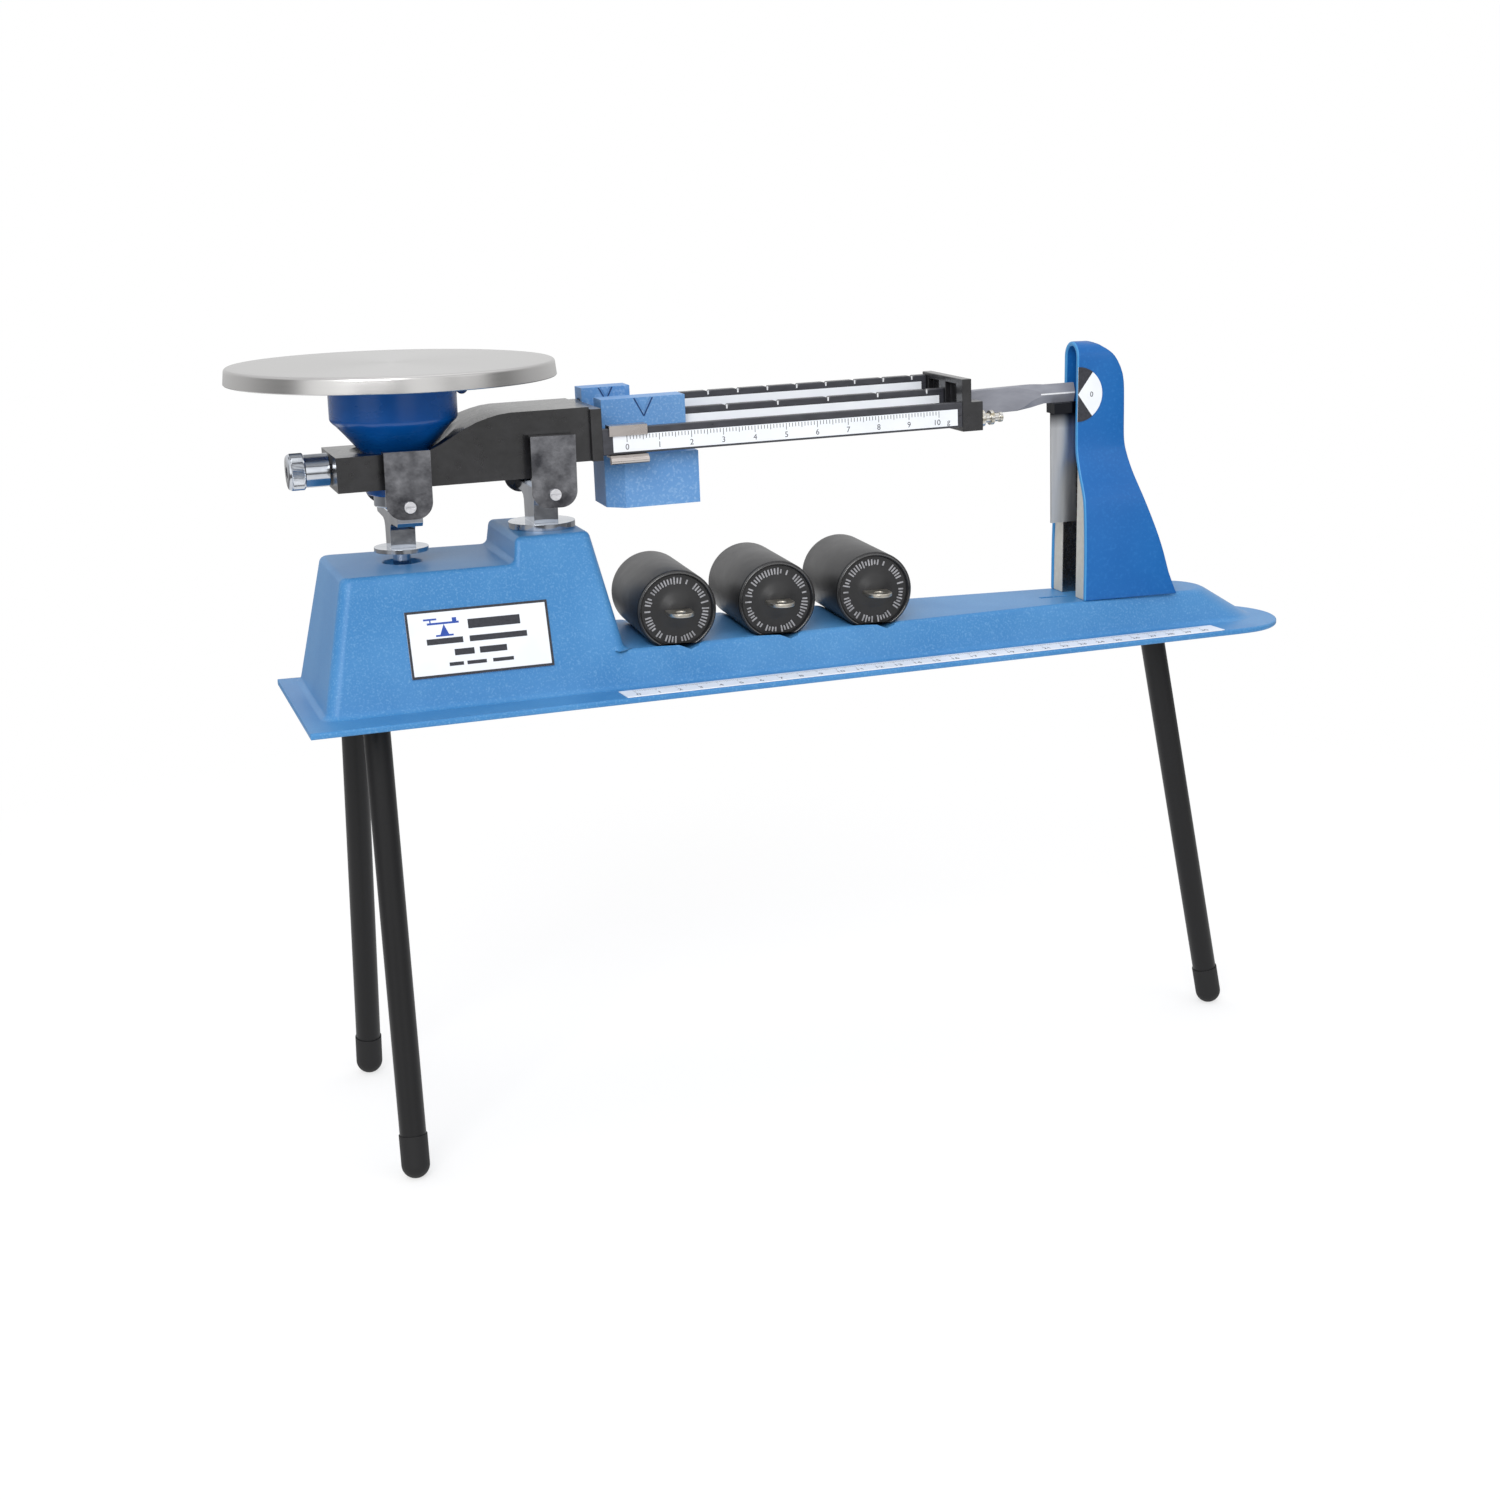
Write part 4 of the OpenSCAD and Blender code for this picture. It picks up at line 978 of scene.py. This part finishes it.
kept = add("FunctionNodeRandomValue", {"data_type": "BOOLEAN"}, {"Probability": 0.82, "Seed": 7}, out=3)
length = add("ShaderNodeMath", {"operation": "MULTIPLY"}, {0: "Length", 1: share})
sizes = add("ShaderNodeCombineXYZ", sockets={"X": length, "Y": "Width", "Z": "Width"})
block = add("GeometryNodeMeshCube", sockets={"Size": (1.0, 1.0, 1.0)})
spread = add("GeometryNodeInstanceOnPoints", sockets={
    "Points": ring, "Selection": kept, "Instance": block, "Rotation": turn, "Scale": sizes})
solid_marks = add("GeometryNodeRealizeInstances", sockets={"Geometry": spread})
painted = add("GeometryNodeSetMaterial", sockets={"Geometry": solid_marks, "Material": "Paint"})
marks.links.new(painted, marks.nodes.new("NodeGroupOutput").inputs[0])

rest_z = at(0, 0, 19.5).z
drum_long = 59
drum_front = 28.7
tab_back = 1.6
rim_depth = 2.5
for seed, letter in enumerate("abc"):
    weight = "weight_" + letter
    body = "attachment_" + weight
    low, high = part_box(weight)
    radius = (high.z - low.z) / 2 / mm
    axle = (Matrix.Translation((low + high) / 2) @ Matrix.Rotation(math.radians(-3), 4, "Z")
            @ Matrix.Translation((0, -drum_front * mm, 0)))
    face_on = axle @ Matrix.Rotation(math.radians(90), 4, "Z")
    deep = 2.2
    profile = [(0.0, 0.0), (0.0, 3.2), (0.5, 4.6), (1.5, 7.6), (deep, 9.6), (deep, radius - 2.3),
               (1.4, radius - 1.9), (0.95, radius - 1.7), (0.62, radius - 1.35), (0.6, radius - 1.0),
               (0.75, radius - 0.55), (1.2, radius - 0.15), (1.9, radius), (drum_long - 1.5, radius),
               (drum_long - 0.5, radius - 0.4), (drum_long, radius - 1.4), (drum_long, 0.0)]
    drum = lathe(profile, face_on, weight + "_turned", 112)
    # The raised marks take the light grey of the painted highlight.
    raised = grown(marks, weight + "_marks", {
        "Count": 58, "Radius": (radius - 5.0) * mm, "Length": 3.6 * mm, "Width": 0.7 * mm,
        "Seed": seed, "Paint": painted_glint_grey.material})
    raised.data.transform(axle @ Matrix.Translation((0, deep * mm, 0)) @ upright)
    place(raised, body, painted_glint_grey)
    lip = [(0.75 + 0.42 * math.cos(a), radius - 1.2 + 0.42 * math.sin(a))
           for a in [math.radians(30 * k) for k in range(13)]]
    rim = lathe(lip, face_on, weight + "_lip", 112)
    for turned in (drum, rim):
        for point in turned.data.vertices:
            if (face_on.inverted() @ point.co).x < rim_depth * mm:
                point.co.z = max(point.co.z, rest_z)
    place(drum, body, weight_black, weight)
    place(rim, body, gloss_black)
    tab = softened("tab_" + letter, body, tab_steel, 0.35)
    tab.data.transform(Matrix.Translation((0, tab_back * mm, 0)))

# ---- Studio --------------------------------------------------------------------------
# A pale round floor runs out into plain white. Bright metal mirrors two pale screens in
# front, to the left and right of the camera, with a dark gap between them.

floor_mesh = bmesh.new()
bmesh.ops.create_circle(floor_mesh, cap_ends=True, segments=96, radius=0.85)
floor = from_bmesh(floor_mesh, "floor")
floor_paint = Finish("floor_paint", {"Roughness": 0.9, "Base Color": (0.95, 0.95, 0.95, 1)})
spot_x = floor_paint.node("ShaderNodeSeparateXYZ", sockets={"Vector": floor_paint.place}, out="X")
spot_y = Flow(floor_paint.tree, spot_x.socket.node.outputs["Y"])
away = (spot_x * spot_x + spot_y * spot_y) ** 0.5
glow = floor_paint.node("ShaderNodeEmission", sockets={"Color": (1, 1, 1, 1), "Strength": 1.0})
clear = floor_paint.ramp(away, [(0.25, 0.6), (0.75, 1.0)])
blend = floor_paint.node("ShaderNodeMixShader", sockets={
    0: clear, 1: Flow(floor_paint.tree, floor_paint.skin.outputs[0]), 2: glow})
floor_paint.tree.links.new(blend.socket, floor_paint.tree.nodes["Material Output"].inputs["Surface"])
floor.data.materials.append(floor_paint.material)

world = bpy.data.worlds.new("studio")
bpy.context.scene.world = world
world.use_nodes = True
sky = world.node_tree
backdrop = sky.nodes["Background"]


def sky_node(kind, settings=(), sockets=(), out=0):
    """A node of the surroundings, with its settings and inputs."""
    made = sky.nodes.new(kind)
    for key, value in dict(settings).items():
        setattr(made, key, value)
    for key, value in dict(sockets).items():
        feed(sky, made.inputs[key], value)
    return Flow(sky, made.outputs[out])


def sky_ramp(value, stops):
    """Brightness along a value, as (position, grey) stops."""
    shade = sky_node("ShaderNodeValToRGB", sockets={"Fac": value})
    ramp = shade.socket.node.color_ramp
    while len(ramp.elements) < len(stops):
        ramp.elements.new(0.5)
    for element, (position, level) in zip(ramp.elements, stops):
        element.position = position
        element.color = (level, level, level, 1)
    return shade


outlook = sky_node("ShaderNodeTexCoord", out="Generated")
facing = sky_node("ShaderNodeVectorRotate", {"rotation_type": "Z_AXIS"},
                  {"Vector": outlook, "Angle": math.radians(18.3)})
sky_parts = sky_node("ShaderNodeSeparateXYZ", sockets={"Vector": facing}, out="X").socket.node
sideways = Flow(sky, sky_parts.outputs["X"])
depth = Flow(sky, sky_parts.outputs["Y"])
rise = Flow(sky, sky_parts.outputs["Z"])
bearing = sky_node("ShaderNodeMath", {"operation": "ARCTAN2"}, {0: sideways, 1: 0 - depth})
around = sky_ramp(0.5 + bearing * (0.5 / math.pi), [
    (0.0, 0.9), (0.2, 0.75), (0.3, 0.34), (0.335, 0.3), (0.36, 1.35), (0.44, 1.4), (0.463, 0.08),
    (0.535, 0.08), (0.56, 1.4), (0.62, 1.2), (0.65, 0.36), (0.75, 0.26), (0.82, 0.7), (1.0, 0.9)])
above = sky_ramp(rise, [(0.3, 0.0), (0.6, 1.0)])
below = sky_ramp(rise + 0.3, [(0.1, 1.0), (0.28, 0.0)])
screens = sky_node("ShaderNodeMix", {"data_type": "RGBA"},
                   {0: above, 6: around, 7: (0.95, 0.95, 0.96, 1)}, out=2)
lowered = sky_node("ShaderNodeMix", {"data_type": "RGBA"},
                   {0: below, 6: screens, 7: (0.17, 0.165, 0.165, 1)}, out=2)
seen = sky_node("ShaderNodeLightPath", out="Is Camera Ray")
shown = sky_node("ShaderNodeMix", {"data_type": "RGBA"}, {0: seen, 6: lowered, 7: (1, 1, 1, 1)}, out=2)
feed(sky, backdrop.inputs["Color"], shown)


def soft_lamp(name, where, size, power):
    """A square studio lamp that faces the beam."""
    lamp = bpy.data.lights.new(name, "AREA")
    lamp.size = size
    lamp.energy = power
    obj = bpy.data.objects.new(name, lamp)
    obj.location = where
    obj.rotation_euler = (Vector((0, 0, 0.25)) - Vector(where)).to_track_quat("-Z", "Y").to_euler()
    obj.visible_camera = False
    bpy.context.scene.collection.objects.link(obj)


soft_lamp("key_lamp", (-0.9, -1.7, 1.3), 1.2, 26)
soft_lamp("fill_lamp", (1.4, -1.5, 1.0), 1.0, 3)
soft_lamp("top_lamp", (0.1, 0.1, 1.8), 1.5, 3)

camera = bpy.data.cameras.new("camera")
camera.sensor_width = 36
camera.lens = 54.23
camera_obj = bpy.data.objects.new("camera", camera)
camera_obj.location = (-0.35229, -1.01367, 0.44397)
camera_obj.rotation_euler = [math.radians(a) for a in (75.3679, 1.1355, -18.3374)]
bpy.context.scene.collection.objects.link(camera_obj)
bpy.context.scene.camera = camera_obj
bpy.context.scene.view_settings.view_transform = "Standard"
